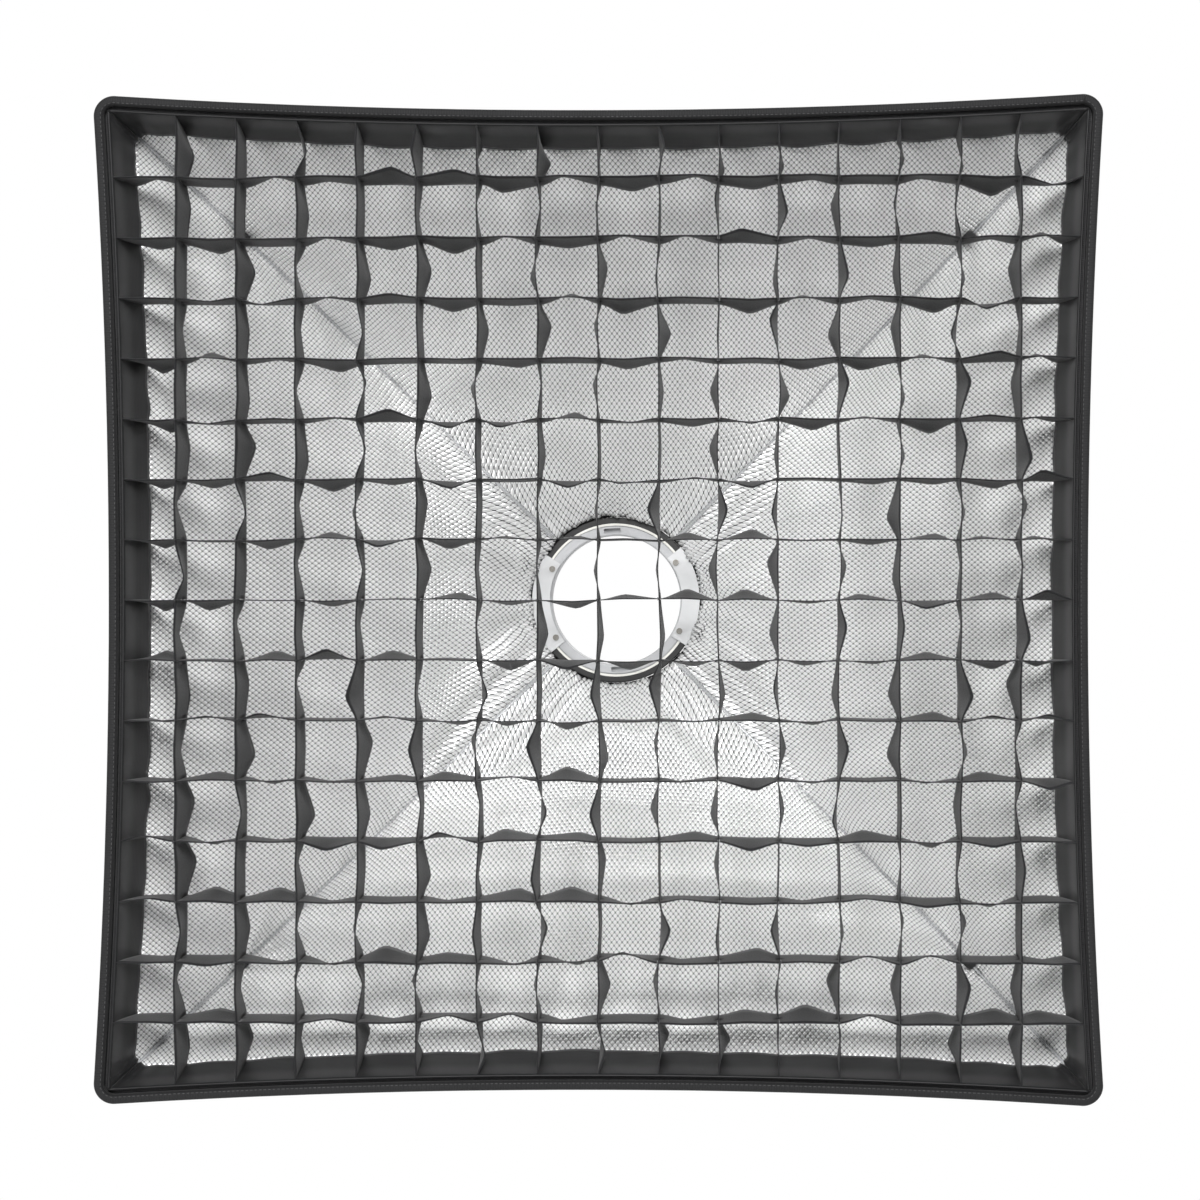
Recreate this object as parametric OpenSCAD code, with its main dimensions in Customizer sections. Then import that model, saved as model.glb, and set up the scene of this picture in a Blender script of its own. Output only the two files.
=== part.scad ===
// Square folding softbox with a fabric egg-crate grid.
// Four sprung rods run from a speed ring to the corners of a bowed square rim
// and stretch a black cover with a silver lining between them. The ring turns
// on a three-lug bayonet insert, and the grid pulls off the front lip.
//
// Frame: +Z up, the opening faces -Y, the origin is the centre of the light's
// seat face on the insert. All sizes are millimetres.

/* [Front opening] */
// Width and height over the corners of the rim
rim_w = 800; // [760:10:860]
// Distance from the front of the rim back to the light's seat face
box_depth = 330; // [310:5:360]
// How far each side of the rim bows in at its middle
rim_bow = 12; // [6:1:16]
// Radius of the rim's outer corners
rim_corner_r = 16; // [14:1:18]
// Width of the bound edge, seen from the front
binding_w = 7.4; // [6.8:0.2:8]
// Depth of the bound edge, front to back
binding_d = 7.7; // [6:0.1:8]

/* [Fabric shell] */
// Depth of the lip in front of the rods' pockets
lip_depth = 45; // [35:1:55]
// How far the lip draws in from the rim to its back edge
lip_draft = 11; // [8:1:14]
// Outward bow of each corner seam between rim and ring
seam_bow = 45; // [35:1:52]
// Most that a panel sags in between its two seams
panel_sag = 40; // [26:1:44]
// How far the fabric is drawn forward where it necks down to the ring
neck_pull = 18; // [10:1:22]
// Radius of the fabric edge round the ring
collar_r = 78; // [78:0.5:80]
// Thickness of the outer cover
cover_t = 1.2; // [0.8:0.1:1.4]
// Thickness of the silver lining
lining_t = 0.8; // [0.5:0.1:1.0]

/* [Rods] */
// Diameter of a rod
rod_d = 4; // [3:0.5:4]
// Distance from a corner seam out to the middle of its rod
rod_gap = 6.5; // [6.5:0.1:7]
// Outer diameter of the sleeve round a rod
sleeve_d = 8; // [7:0.2:8]

/* [Speed ring and insert] */
// Radius of the bore that takes the light's tube
bore_r = 59; // [57:0.5:59]
// Radius of the journal that the ring turns on
journal_r = 67.95; // [67.95:0.5:67.95]
// Running clearance between journal and slip ring
journal_clearance = 0.05; // [0.03:0.01:0.08]
// Outer radius of the slip ring
slip_r = 70; // [69.5:0.1:70.5]
// Outer radius of the speed ring
ring_r = 75.6; // [74:0.1:75.6]
// Outer radius of the two retainer plates
plate_r = 76.5; // [75:0.1:76.5]
// Angle that each retainer plate spans
plate_span = 72; // [60:1:80]
// Turn of the insert in the ring, counter-clockwise from the front
insert_turn = 3; // [0:1:90]

/* [Grid] */
// Number of cells across and down
grid_cells = 16; // [12:1:18]
// Thickness of a strip
slat_t = 0.9; // [0.6:0.1:1.0]

/* [Hidden] */
$fn = 96;
root2 = sqrt(2);
corner_names = ["top_right", "top_left", "bottom_left", "bottom_right"];

// Layers are counted from the corner seam, positive towards the inside.
cover_in = -0.2;
cover_out = cover_in - cover_t;
lining_out = 0.2;
lining_in = lining_out + lining_t;
loop_out = 0.2;
loop_in = 1.6;
hook_out = loop_in + 0.5;
hook_in = hook_out + 1.2;
band_out = hook_in + 0.1;
band_in = band_out + 1.2;
layer_lean = 1 / root2;

// The corner seam is a straight lip and then an arc, drawn in the diagonal
// plane as [out from axis, along Y].
seam_inset = 6.5;
rim_point = [root2 * (rim_w / 2 - seam_inset), -box_depth + 8];
seam_front = rim_point + [-root2 * lip_draft, lip_depth];
seam_back = [collar_r, -20.7];
seam_chord = norm(seam_front - seam_back);
seam_dir = (seam_back - seam_front) / seam_chord;
seam_out = [seam_dir[1], -seam_dir[0]];
seam_r = (seam_chord * seam_chord / 4 + seam_bow * seam_bow) / (2 * seam_bow);
seam_centre = (seam_front + seam_back) / 2 - (seam_r - seam_bow) * seam_out;
seam_a0 = atan2(seam_front[1] - seam_centre[1], seam_front[0] - seam_centre[0]);
seam_a1 = atan2(seam_back[1] - seam_centre[1], seam_back[0] - seam_centre[0]);
rod_arc_r = seam_r + rod_gap;

// Places along the seam, from 0 at the rim to 1 at the ring: where the lip
// ends, where the panels sag most, where the neck starts, and the edges of
// the tapes and the lining.
lip_end = 0.1;
sag_peak = 0.62;
neck_start = 0.58;
lining_start = lip_end + 0.004;
tape_start = 0.006;
tape_end = lip_end - 0.008;
band_end = lip_end - 0.002;

panel_rows = 20;
panel_cols = 14;
band_rows = 2;
band_cols = 12;

// Seam tapes: rows of the lining's that they run along, layer and thickness.
tape_rows = 18;
tape_out = lining_in + 0.3;
tape_t = 0.5;

// Rods: where they stop at the front, and where their sockets start.
tip_back = 8;
mouth_out = 106;
socket_len = 27;
socket_bore = 25;
socket_r = 5;
ferrule_r = 3;
ferrule_gap = 0.05;
tip_a = seam_a0 + tip_back / rod_arc_r * 180 / PI;
mouth_a = acos((mouth_out - seam_centre[0]) / rod_arc_r);
rod_joint_a = 0.15;
rod_step = 0.03;
sleeve_end = 0.72;
tip_cap_r = 3.4;
tip_cap_len = 14;
pocket_r = 4.7;
pocket_len = 38;
pocket_wall = 1.1;

// Ring parts are drawn with z running forward from the light's seat face.
seat_z = 0;
spigot_z = -4;
spigot_r = 61.5;
rear_flange_z = 4;
rear_flange_r = 72;
flange_z = 18;
flange_r = 67;
flange_t = 2;
lip_round = 1.6;
plate_in_r = 60.4;
plate_t = 2;
ring_gap = 0.4;
ring_round = 1;
screw_r = 1.45;
screw_hole_r = 1.5;
screw_head_r = 2.75;
screw_head_t = 1.8;
screw_pitch_r = 64.6;
screw_angle = 29;
screw_depth = 6;
window_r = 63.3;
window_size = [15, 4.5, 7];
lug_angles = [90, 210, 330];
lug_span = 20;
lug_z = -10.6;
lug_sheet = 1.6;
collar_in = 77;
collar_out = 78;
collar_front = 19.4;
collar_back = 1;
socket_base = [14, 5.4, 12.6];

// Grid strips.
grid_pitch = (rim_w - 32) / grid_cells;
slat_gap = 0.2;
slat_layer = band_in + 0.15;

// Baffle tabs along the seam.
tab_at = 0.33;
tab_size = [14, 1.2, 8];

// ---- functions ----

// Smooth step from 0 at a to 1 at b.
function ease(a, b, x) =
    let (s = min(1, max(0, (x - a) / (b - a)))) s * s * (3 - 2 * s);

// How far the fabric is drawn off the rod's arc at t along the seam.
function neck(t) =
    let (s = max(0, (t - neck_start) / (1 - neck_start))) neck_pull * 6.75 * s * s * (1 - s);

function seam_angle(t) = seam_a0 + (t - lip_end) / (1 - lip_end) * (seam_a1 - seam_a0);

// Corner seam at t: 0 at the rim, 1 at the ring.
function seam(t) =
    let (a = seam_angle(t))
    t < lip_end ? rim_point + (seam_front - rim_point) * t / lip_end
                : seam_centre + (seam_r - neck(t)) * [cos(a), sin(a)];

// Inward bow of a panel's middle at t. It ends negative, as the ring is round.
function bow(t) =
    let (front = rim_bow + (panel_sag - rim_bow) * ease(0, sag_peak, t))
    let (back = collar_r / root2 - collar_r)
    front + (back - front) * ease(sag_peak, 1, t);

// Half the width of the shell's section at t, at layer k.
function half_side(t, k) = seam(t)[0] / root2 - k * layer_lean;

// Height of a panel above the axis at t and layer k, x off its middle.
function panel_height(t, k, x) =
    let (c = half_side(t, k)) c - bow(t) * (1 - pow(x / c, 2));

// A point of the top panel: u runs from -1 to 1 between its seams.
function panel_point(t, u, k) =
    let (x = u * half_side(t, k)) [x, seam(t)[1] - k * layer_lean, panel_height(t, k, x)];

// Outline of the rim at half width h with corner radius r, counter-clockwise.
function rim_outline(h, r) = [
    for (side = [0:3])
    for (p = concat(
        [for (i = [12:-1:-12]) let (u = i / 12) [u * (h - r), h - rim_bow * (1 - u * u)]],
        r > 0 ? [for (a = [100:10:180]) [-(h - r) + r * cos(a), h - r + r * sin(a)]] : []))
    let (a = 90 * side)
    [p[0] * cos(a) - p[1] * sin(a), p[0] * sin(a) + p[1] * cos(a)]
];

// Where the strips stand across the opening.
function strip_at(i) = (i - grid_cells / 2) * grid_pitch;

// ---- placing ----

// Draws with z running forward and angles counter-clockwise from the front.
module facing_front() {
    rotate([90, 0, 0]) children();
}

// Draws in a corner's diagonal plane: x out from the axis, y along Y.
module at_corner(i) {
    rotate([0, -45 - 90 * i, 0]) children();
}

// Turns a piece of the top side to side i, counter-clockwise from the front.
module at_side(i) {
    rotate([0, -90 * i, 0]) children();
}

// The insert's own frame, turned in the ring.
module insert_frame() {
    facing_front() rotate([0, 0, insert_turn]) children();
}

// Moves to the rod's line at arc angle a, with z along it towards the ring.
module on_rod(a) {
    at = seam_centre + rod_arc_r * [cos(a), sin(a)];
    translate([at[0], at[1], 0]) rotate([0, 0, a]) rotate([-90, 0, 0]) children();
}

// ---- shared shapes ----

// A layer of the top panel from t0 to t1, between layers k_out and k_in.
module layer(t0, t1, k_out, k_in, rows, cols, u0 = -1, u1 = 1) {
    outer = [for (i = [0:rows]) for (j = [0:cols])
        panel_point(t0 + (t1 - t0) * i / rows, u0 + (u1 - u0) * j / cols, k_out)];
    inner = [for (i = [0:rows]) for (j = [0:cols])
        panel_point(t0 + (t1 - t0) * i / rows, u0 + (u1 - u0) * j / cols, k_in)];
    n = len(outer);
    w = cols + 1;
    skins = [for (i = [0:rows - 1]) for (j = [0:cols - 1])
        let (a = i * w + j, b = a + 1, c = a + w, d = c + 1)
        each [[a, d, b], [a, c, d], [n + a, n + b, n + d], [n + a, n + d, n + c]]];
    ends = [for (j = [0:cols - 1])
        let (a = j, b = j + 1, c = rows * w + j, d = c + 1)
        each [[a, b, n + b], [a, n + b, n + a], [d, c, n + c], [d, n + c, n + d]]];
    sides = [for (i = [0:rows - 1])
        let (a = i * w, c = a + w, b = a + cols, d = b + w)
        each [[c, a, n + a], [c, n + a, n + c], [b, d, n + d], [b, n + d, n + b]]];
    polyhedron(points = concat(outer, inner), faces = concat(skins, ends, sides), convexity = 6);
}

// A length of round bar or tube that follows the rod's arc.
module rod_arc(a0, a1, r_out, r_in = 0) {
    translate([seam_centre[0], seam_centre[1], 0])
        rotate([0, 0, a0])
            rotate_extrude(angle = a1 - a0, $fn = 360)
                translate([rod_arc_r, 0])
                    difference() {
                        circle(r = r_out, $fn = 32);
                        if (r_in > 0) circle(r = r_in, $fn = 32);
                    }
}

// A sector of a turned profile, centred on an angle.
module sector(middle, span) {
    rotate([0, 0, middle - span / 2]) rotate_extrude(angle = span) children();
}

// ---- bayonet insert ----

// One casting: spigot, rear flange, journal and front flange with a rolled lip.
module mount_insert() {
    lip = [for (a = [180:-15:90])
        [bore_r + lip_round + lip_round * cos(a), flange_z - lip_round + lip_round * sin(a)]];
    color("gainsboro")
        insert_frame()
            difference() {
                rotate_extrude()
                    polygon(concat(
                        [[spigot_r, seat_z], [spigot_r, spigot_z], [bore_r, spigot_z]],
                        lip,
                        [[flange_r, flange_z], [flange_r, flange_z - flange_t]],
                        [[journal_r, flange_z - flange_t], [journal_r, rear_flange_z]],
                        [[rear_flange_r, rear_flange_z], [rear_flange_r, seat_z]]));
                for (side = [0, 180])
                    rotate([0, 0, side]) screw_holes(screw_hole_r);
                for (side = [0, 180])
                    rotate([0, 0, side])
                        translate([-window_size[0] / 2, window_r - window_size[1] / 2,
                                   flange_z - window_size[2]])
                            cube([window_size[0], window_size[1], window_size[2] + 1]);
            }
}

module screw_holes(r) {
    for (a = [-screw_angle, screw_angle])
        rotate([0, 0, a])
            translate([screw_pitch_r, 0, flange_z - screw_depth])
                cylinder(r = r, h = screw_depth + plate_t + 1, $fn = 32);
}

// Three pressed lugs that hook into the light.
module bayonet_lugs() {
    color("silver")
        insert_frame()
            for (a = lug_angles)
                difference() {
                    sector(a, lug_span)
                        polygon([[62, seat_z], [62, lug_z], [69, lug_z], [69, lug_z + lug_sheet],
                                 [62 + lug_sheet, lug_z + lug_sheet], [62 + lug_sheet, -lug_sheet],
                                 [71, -lug_sheet], [71, seat_z]]);
                    lug_rivet_shanks(a, screw_r);
                }
}

module lug_rivet_shanks(a, r) {
    for (off = [-6, 6])
        rotate([0, 0, a + off])
            translate([67.4, 0, -lug_sheet - 1])
                cylinder(r = r, h = lug_sheet + 1, $fn = 32);
}

// Two rivets through each lug's foot.
module lug_rivets() {
    color("silver")
        insert_frame()
            for (a = lug_angles) {
                intersection() {
                    lug_rivet_shanks(a, screw_r);
                    translate([0, 0, -lug_sheet])
                        cylinder(r = rear_flange_r, h = lug_sheet);
                }
                for (off = [-6, 6])
                    rotate([0, 0, a + off])
                        translate([67.4, 0, -lug_sheet - 1])
                            cylinder(r = 2.3, h = 1, $fn = 32);
            }
}

// A curved plate that holds the ring on the insert.
module retainer_plate(side) {
    color("white")
        insert_frame()
            rotate([0, 0, side])
                difference() {
                    sector(0, plate_span)
                        translate([plate_in_r, flange_z])
                            square([plate_r - plate_in_r, plate_t]);
                    screw_holes(screw_hole_r);
                }
}

module retainer_plate_left() { retainer_plate(180); }

module retainer_plate_right() { retainer_plate(0); }

// Four cross-head screws, two to a plate.
module retainer_screws() {
    color("lightgrey")
        insert_frame()
            for (side = [0, 180])
                for (a = [-screw_angle, screw_angle])
                    rotate([0, 0, side + a])
                        translate([screw_pitch_r, 0, flange_z + plate_t])
                            cross_head_screw();
}

module cross_head_screw() {
    translate([0, 0, -screw_depth - plate_t + 0.3])
        cylinder(r = screw_r, h = screw_depth + plate_t - 0.3, $fn = 32);
    difference() {
        cylinder(r = screw_head_r, h = screw_head_t, $fn = 48);
        for (turn = [0, 90])
            rotate([0, 0, turn])
                translate([-1.7, -0.35, screw_head_t - 1])
                    cube([3.4, 0.7, 2]);
    }
}

// ---- speed ring ----

// Black ring that carries the four rod sockets.
module speed_ring() {
    front = flange_z - ring_gap;
    back = rear_flange_z + ring_gap;
    nose = [for (a = [0:15:90])
        [ring_r - ring_round + ring_round * cos(a), front - ring_round + ring_round * sin(a)]];
    color("black")
        facing_front()
            difference() {
                rotate_extrude()
                    polygon(concat([[slip_r, back], [ring_r, back]], nose, [[slip_r, front]]));
                for (i = [0:3])
                    rotate([0, 0, 45 + 90 * i]) socket_rivet_holes(1.25, slip_r - 1);
            }
}

// Pale wear ring pressed into the speed ring, running on the journal.
module slip_ring() {
    color("whitesmoke")
        facing_front()
            rotate_extrude()
                translate([journal_r + journal_clearance, rear_flange_z + ring_gap])
                    square([slip_r - journal_r - journal_clearance,
                            flange_z - rear_flange_z - 2 * ring_gap]);
}

// Two rivet lines through a socket's foot, from radius r_from out.
module socket_rivet_holes(r, r_from) {
    for (off = [-4, 4])
        translate([r_from, off, 6.9])
            rotate([0, 90, 0])
                cylinder(r = r, h = ring_r + socket_base[1] + 0.05 - r_from, $fn = 32);
}

// Steel socket for a rod's end, riveted to the ring.
module rod_socket(i) {
    color("dimgrey") {
        facing_front()
            rotate([0, 0, 45 + 90 * i])
                difference() {
                    translate([ring_r - 1, -socket_base[0] / 2, 4.8])
                        cube([socket_base[1] + 1, socket_base[0], socket_base[2]]);
                    cylinder(r = ring_r + 0.05, h = 30);
                    socket_rivet_holes(1.25, slip_r - 1);
                    socket_tube_cut();
                }
        at_corner(i)
            difference() {
                on_rod(mouth_a) cylinder(r = socket_r, h = socket_len, $fn = 64);
                on_rod(mouth_a)
                    translate([0, 0, -1])
                        cylinder(r = ferrule_r + ferrule_gap, h = socket_bore + 1, $fn = 64);
                rotate([-90, 0, 0])
                    translate([0, 0, -40])
                        cylinder(r = ring_r + 0.05, h = 60);
            }
    }
}

// The room that a socket's tube takes up in its foot.
module socket_tube_cut() {
    rotate([-90, 0, 0])
        on_rod(mouth_a)
            cylinder(r = socket_r, h = socket_len + 20, $fn = 64);
}

// Rivets of the four sockets.
module socket_rivets() {
    color("silver")
        facing_front()
            for (i = [0:3])
                rotate([0, 0, 45 + 90 * i]) {
                    socket_rivet_holes(1.2, slip_r + 0.3);
                    for (off = [-4, 4])
                        translate([ring_r + socket_base[1] + 0.05, off, 6.9])
                            rotate([0, 90, 0])
                                cylinder(r1 = 1.9, r2 = 1.2, h = 0.9, $fn = 32);
                }
}

// ---- rods ----

// A sprung rod: an arc along the seam and a straight end in its socket. The
// arc runs on inside the straight end, so that they join as one solid.
module rod(i) {
    color("darkgrey")
        at_corner(i) {
            rod_arc(tip_a, mouth_a + rod_joint_a, rod_d / 2 - rod_step);
            on_rod(mouth_a) cylinder(r = rod_d / 2, h = socket_bore - 2, $fn = 32);
        }
}

// Plated ferrules on the rods' inner ends.
module rod_ferrules() {
    color("goldenrod")
        for (i = [0:3])
            at_corner(i)
                on_rod(mouth_a)
                    difference() {
                        cylinder(r = ferrule_r, h = socket_bore - 1, $fn = 64);
                        translate([0, 0, -1])
                            cylinder(r = rod_d / 2 + 0.05, h = socket_bore - 1, $fn = 32);
                    }
}

// Rubber caps on the rods' front ends.
module rod_tips() {
    color("black")
        for (i = [0:3])
            at_corner(i)
                on_rod(tip_a)
                    difference() {
                        translate([0, 0, -2]) cylinder(r = tip_cap_r, h = tip_cap_len, $fn = 48);
                        cylinder(r = rod_d / 2 + 0.15, h = tip_cap_len, $fn = 32);
                    }
}

// Sewn tunnel that holds a rod along its seam.
module rod_sleeve(i) {
    front = tip_a + 4.2 / rod_arc_r * 180 / PI + pocket_len / rod_arc_r * 180 / PI;
    color("black")
        at_corner(i) rod_arc(front, seam_angle(sleeve_end), sleeve_d / 2, sleeve_d / 2 - 0.9);
}

// Reinforced pocket that takes a rod's tip at the rim.
module corner_pocket(i) {
    color("black")
        at_corner(i)
            on_rod(tip_a)
                difference() {
                    translate([0, 0, -4]) cylinder(r = pocket_r, h = pocket_len, $fn = 64);
                    translate([0, 0, -2.3])
                        cylinder(r = pocket_r - pocket_wall, h = pocket_len, $fn = 64);
                }
}

// ---- fabric shell ----

module cover(i) {
    color("black")
        at_side(i) layer(0, 1, cover_out, cover_in, panel_rows, panel_cols);
}

module lining(i) {
    color("silver")
        at_side(i) layer(lining_start, 1, lining_out, lining_in, panel_rows, panel_cols);
}

module cover_top() { cover(0); }

module cover_left() { cover(1); }

module cover_bottom() { cover(2); }

module cover_right() { cover(3); }

module lining_top() { lining(0); }

module lining_left() { lining(1); }

module lining_bottom() { lining(2); }

module lining_right() { lining(3); }

// Narrow silver tapes over the two edges of each seam, inside.
module seam_tapes() {
    tape_back = lining_start + (1 - lining_start) * tape_rows / panel_rows;
    color("silver")
        for (i = [0:3])
            at_side(i)
                for (edge = [[-1, -0.985], [0.985, 1]])
                    layer(lining_start, tape_back, tape_out, tape_out + tape_t, tape_rows, 1,
                          edge[0], edge[1]);
}

// Short tabs in the seams that an inner diffuser hooks on to.
module baffle_tabs() {
    at = seam(tab_at);
    color("black")
        for (i = [0:3])
            at_corner(i)
                translate([at[0], at[1], 0])
                    rotate([0, 0, seam_angle(tab_at)])
                        translate([-tab_size[0] - 6, -tab_size[1] / 2, -tab_size[2] / 2])
                            cube(tab_size);
}

// Loop tape round the inside of the lip.
module lip_loop_tape() {
    color("dimgrey")
        for (i = [0:3])
            at_side(i)
                layer(tape_start, tape_end, loop_out, loop_in, band_rows, band_cols);
}

// Binding sewn round the rim.
module rim_binding() {
    color("black")
        facing_front()
            translate([0, 0, box_depth - binding_d])
                linear_extrude(height = binding_d)
                    difference() {
                        polygon(rim_outline(rim_w / 2, rim_corner_r));
                        polygon(rim_outline(rim_w / 2 - binding_w, 0));
                    }
}

// Cloth collar round the ring, with a slot for each socket.
module rear_collar() {
    color("black")
        facing_front()
            difference() {
                rotate_extrude()
                    translate([collar_in, collar_back])
                        square([collar_out - collar_in, collar_front - collar_back]);
                for (i = [0:3])
                    rotate([0, 0, 45 + 90 * i])
                        translate([collar_in - 4, -socket_base[0] / 2 - 0.6, 4.2])
                            cube([10, socket_base[0] + 1.2, 30]);
            }
}

// Elastic hem on the collar's rear edge.
module collar_hem() {
    color("black")
        facing_front()
            rotate_extrude()
                translate([(collar_in + collar_out) / 2, -0.6])
                    circle(r = 1.5, $fn = 32);
}

// ---- grid ----

module grid_band(i) {
    color("black")
        at_side(i) layer(0, band_end, band_out, band_in, band_rows, band_cols);
}

module grid_band_top() { grid_band(0); }

module grid_band_left() { grid_band(1); }

module grid_band_bottom() { grid_band(2); }

module grid_band_right() { grid_band(3); }

// Hook tape round the outside of the grid's band.
module grid_hook_tape() {
    color("dimgrey")
        for (i = [0:3])
            at_side(i)
                layer(tape_start, tape_end, hook_out, hook_in, band_rows, band_cols);
}

// A strip that stands at x off the middle, slotted from the front or the back.
module strip(x, from_front) {
    front = panel_point(0, 0, slat_layer)[1];
    back = panel_point(band_end, 0, slat_layer)[1];
    half_front = panel_height(0, slat_layer, x);
    half_back = panel_height(band_end, slat_layer, x);
    middle = (front + back) / 2;
    slot_w = slat_t + 2 * slat_gap;
    difference() {
        polygon([[-half_front, front], [half_front, front], [half_back, back], [-half_back, back]]);
        for (i = [1:grid_cells - 1])
            translate([strip_at(i) - slot_w / 2, from_front ? front - 1 : middle - slat_gap])
                square([slot_w, middle - front + 1 + slat_gap]);
    }
}

// Strips that run up and down, slotted from the back.
module grid_strips_upright() {
    color("black")
        for (i = [1:grid_cells - 1])
            translate([strip_at(i) + slat_t / 2, 0, 0])
                rotate([0, -90, 0])
                    linear_extrude(height = slat_t)
                        strip(strip_at(i), false);
}

// Strips that run across, slotted from the front.
module grid_strips_level() {
    color("black")
        for (i = [1:grid_cells - 1])
            translate([0, 0, strip_at(i) - slat_t / 2])
                linear_extrude(height = slat_t)
                    strip(strip_at(i), true);
}

mount_insert();
bayonet_lugs();
lug_rivets();
retainer_plate_left();
retainer_plate_right();
retainer_screws();
speed_ring();
slip_ring();
socket_rivets();
rod_ferrules();
rod_tips();
rod_socket(0);  // rod_socket_top_right
rod_socket(1);  // rod_socket_top_left
rod_socket(2);  // rod_socket_bottom_left
rod_socket(3);  // rod_socket_bottom_right
rod(0);  // rod_top_right
rod(1);  // rod_top_left
rod(2);  // rod_bottom_left
rod(3);  // rod_bottom_right
rod_sleeve(0);  // rod_sleeve_top_right
rod_sleeve(1);  // rod_sleeve_top_left
rod_sleeve(2);  // rod_sleeve_bottom_left
rod_sleeve(3);  // rod_sleeve_bottom_right
corner_pocket(0);  // corner_pocket_top_right
corner_pocket(1);  // corner_pocket_top_left
corner_pocket(2);  // corner_pocket_bottom_left
corner_pocket(3);  // corner_pocket_bottom_right
cover_top();
cover_left();
cover_bottom();
cover_right();
lining_top();
lining_left();
lining_bottom();
lining_right();
seam_tapes();
baffle_tabs();
lip_loop_tape();
rim_binding();
rear_collar();
collar_hem();
grid_band_top();
grid_band_left();
grid_band_bottom();
grid_band_right();
grid_hook_tape();
grid_strips_upright();
grid_strips_level();
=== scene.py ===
"""Looks of a square folding softbox with a silver lining and a fabric egg-crate grid.

Lengths in the classes are millimetres and become metres where a mesh is made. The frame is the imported
model's: +Z up, +X right seen from the front, the opening faces -Y.
"""

from __future__ import annotations

import logging
import math
from dataclasses import dataclass, field
from enum import Enum

import bpy
import numpy as np
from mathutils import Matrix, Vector

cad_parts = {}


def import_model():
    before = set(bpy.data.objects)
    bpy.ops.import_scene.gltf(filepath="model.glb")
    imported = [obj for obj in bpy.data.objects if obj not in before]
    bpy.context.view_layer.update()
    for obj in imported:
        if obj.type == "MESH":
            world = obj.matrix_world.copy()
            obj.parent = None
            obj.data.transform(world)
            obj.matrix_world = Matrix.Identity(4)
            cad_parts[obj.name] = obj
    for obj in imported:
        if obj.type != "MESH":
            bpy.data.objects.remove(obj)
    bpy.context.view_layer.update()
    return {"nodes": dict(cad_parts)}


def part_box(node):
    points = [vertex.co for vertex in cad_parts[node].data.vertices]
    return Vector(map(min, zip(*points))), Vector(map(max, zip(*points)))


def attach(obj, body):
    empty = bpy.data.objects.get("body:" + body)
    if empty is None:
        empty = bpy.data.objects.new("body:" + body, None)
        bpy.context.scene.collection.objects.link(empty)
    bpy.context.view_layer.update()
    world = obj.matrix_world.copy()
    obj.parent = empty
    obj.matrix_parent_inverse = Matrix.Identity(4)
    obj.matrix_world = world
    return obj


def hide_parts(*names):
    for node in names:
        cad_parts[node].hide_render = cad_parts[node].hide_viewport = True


LOG = logging.getLogger("softbox")
MM = 0.001
CLOTH = "cloth_mm"
SIDES = ("top", "left", "bottom", "right")
CORNERS = ("top_right", "top_left", "bottom_left", "bottom_right")
ROOT2 = math.sqrt(2.0)
Array = np.ndarray
# A sum of n waves of height 1 rarely passes this many times the root of n.
RARE_PEAK = 1.3


# ---- shared helpers ----


def smooth(low: float, high: float, x: Array) -> Array:
    """Smooth step from 0 at low to 1 at high."""
    s = np.clip((np.asarray(x, float) - low) / (high - low), 0.0, 1.0)
    return s * s * (3.0 - 2.0 * s)


def turned(points: Array, side: int) -> Array:
    """Turns points of the top side to another side.

    Args:
        points: Points with x, y and z in the last axis.
        side: Quarter turns, counter-clockwise seen from the front.

    Returns:
        The turned points.
    """
    for _ in range(side % 4):
        points = np.stack([-points[..., 2], points[..., 1], points[..., 0]], axis=-1)
    return points


def from_corner(corner: int, out: Array, along: Array, across: Array) -> Array:
    """Places points given in a corner's diagonal plane.

    Args:
        corner: Place of the corner in CORNERS.
        out: Distances from the axis, along the diagonal.
        along: Places along Y.
        across: Distances from the diagonal plane.

    Returns:
        The points with x, y and z in the last axis.
    """
    angle = math.radians(45.0 + 90.0 * corner)
    x = out * math.cos(angle) - across * math.sin(angle)
    z = out * math.sin(angle) + across * math.cos(angle)
    return np.stack([x, along + 0.0 * x, z], axis=-1)


def on_ring(angle: Array, radius: Array, forward: Array) -> Array:
    """Places points given round the ring.

    Args:
        angle: Angles in radians, counter-clockwise seen from the front.
        radius: Distances from the axis.
        forward: Distances forward of the seat face, towards -Y.

    Returns:
        The points with x, y and z in the last axis.
    """
    angle, radius, forward = np.broadcast_arrays(angle, radius, forward)
    return np.stack([radius * np.cos(angle), -forward, radius * np.sin(angle)], axis=-1)


def unit(vectors: Array) -> Array:
    """Vectors brought to length 1."""
    return vectors / np.maximum(np.linalg.norm(vectors, axis=-1, keepdims=True), 1e-9)


def run_along(line: Array) -> Array:
    """Distance along a line to each of its points."""
    return np.concatenate([[0.0], np.cumsum(np.linalg.norm(np.diff(line, axis=0), axis=1))])


def sampled(at: Array, run: Array, line: Array) -> Array:
    """A line's points at distances along it, where run gives its own points' distances."""
    return np.stack([np.interp(at, run, line[:, i]) for i in range(3)], axis=-1)


def paired(across: Array, along: Array) -> Array:
    """Places on the flat cloth, across and along, in the last axis."""
    return np.stack(np.broadcast_arrays(across, along), axis=-1)


def linear(hex_colour: str) -> tuple[float, float, float, float]:
    """Turns an sRGB hex colour into linear red, green, blue and alpha.

    Args:
        hex_colour: The colour, as # and six hex digits.

    Returns:
        Red, green, blue and alpha, from 0 to 1.
    """
    parts = [int(hex_colour[i : i + 2], 16) / 255.0 for i in (1, 3, 5)]
    light = [c / 12.92 if c <= 0.04045 else ((c + 0.055) / 1.055) ** 2.4 for c in parts]
    return (*light, 1.0)


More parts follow.
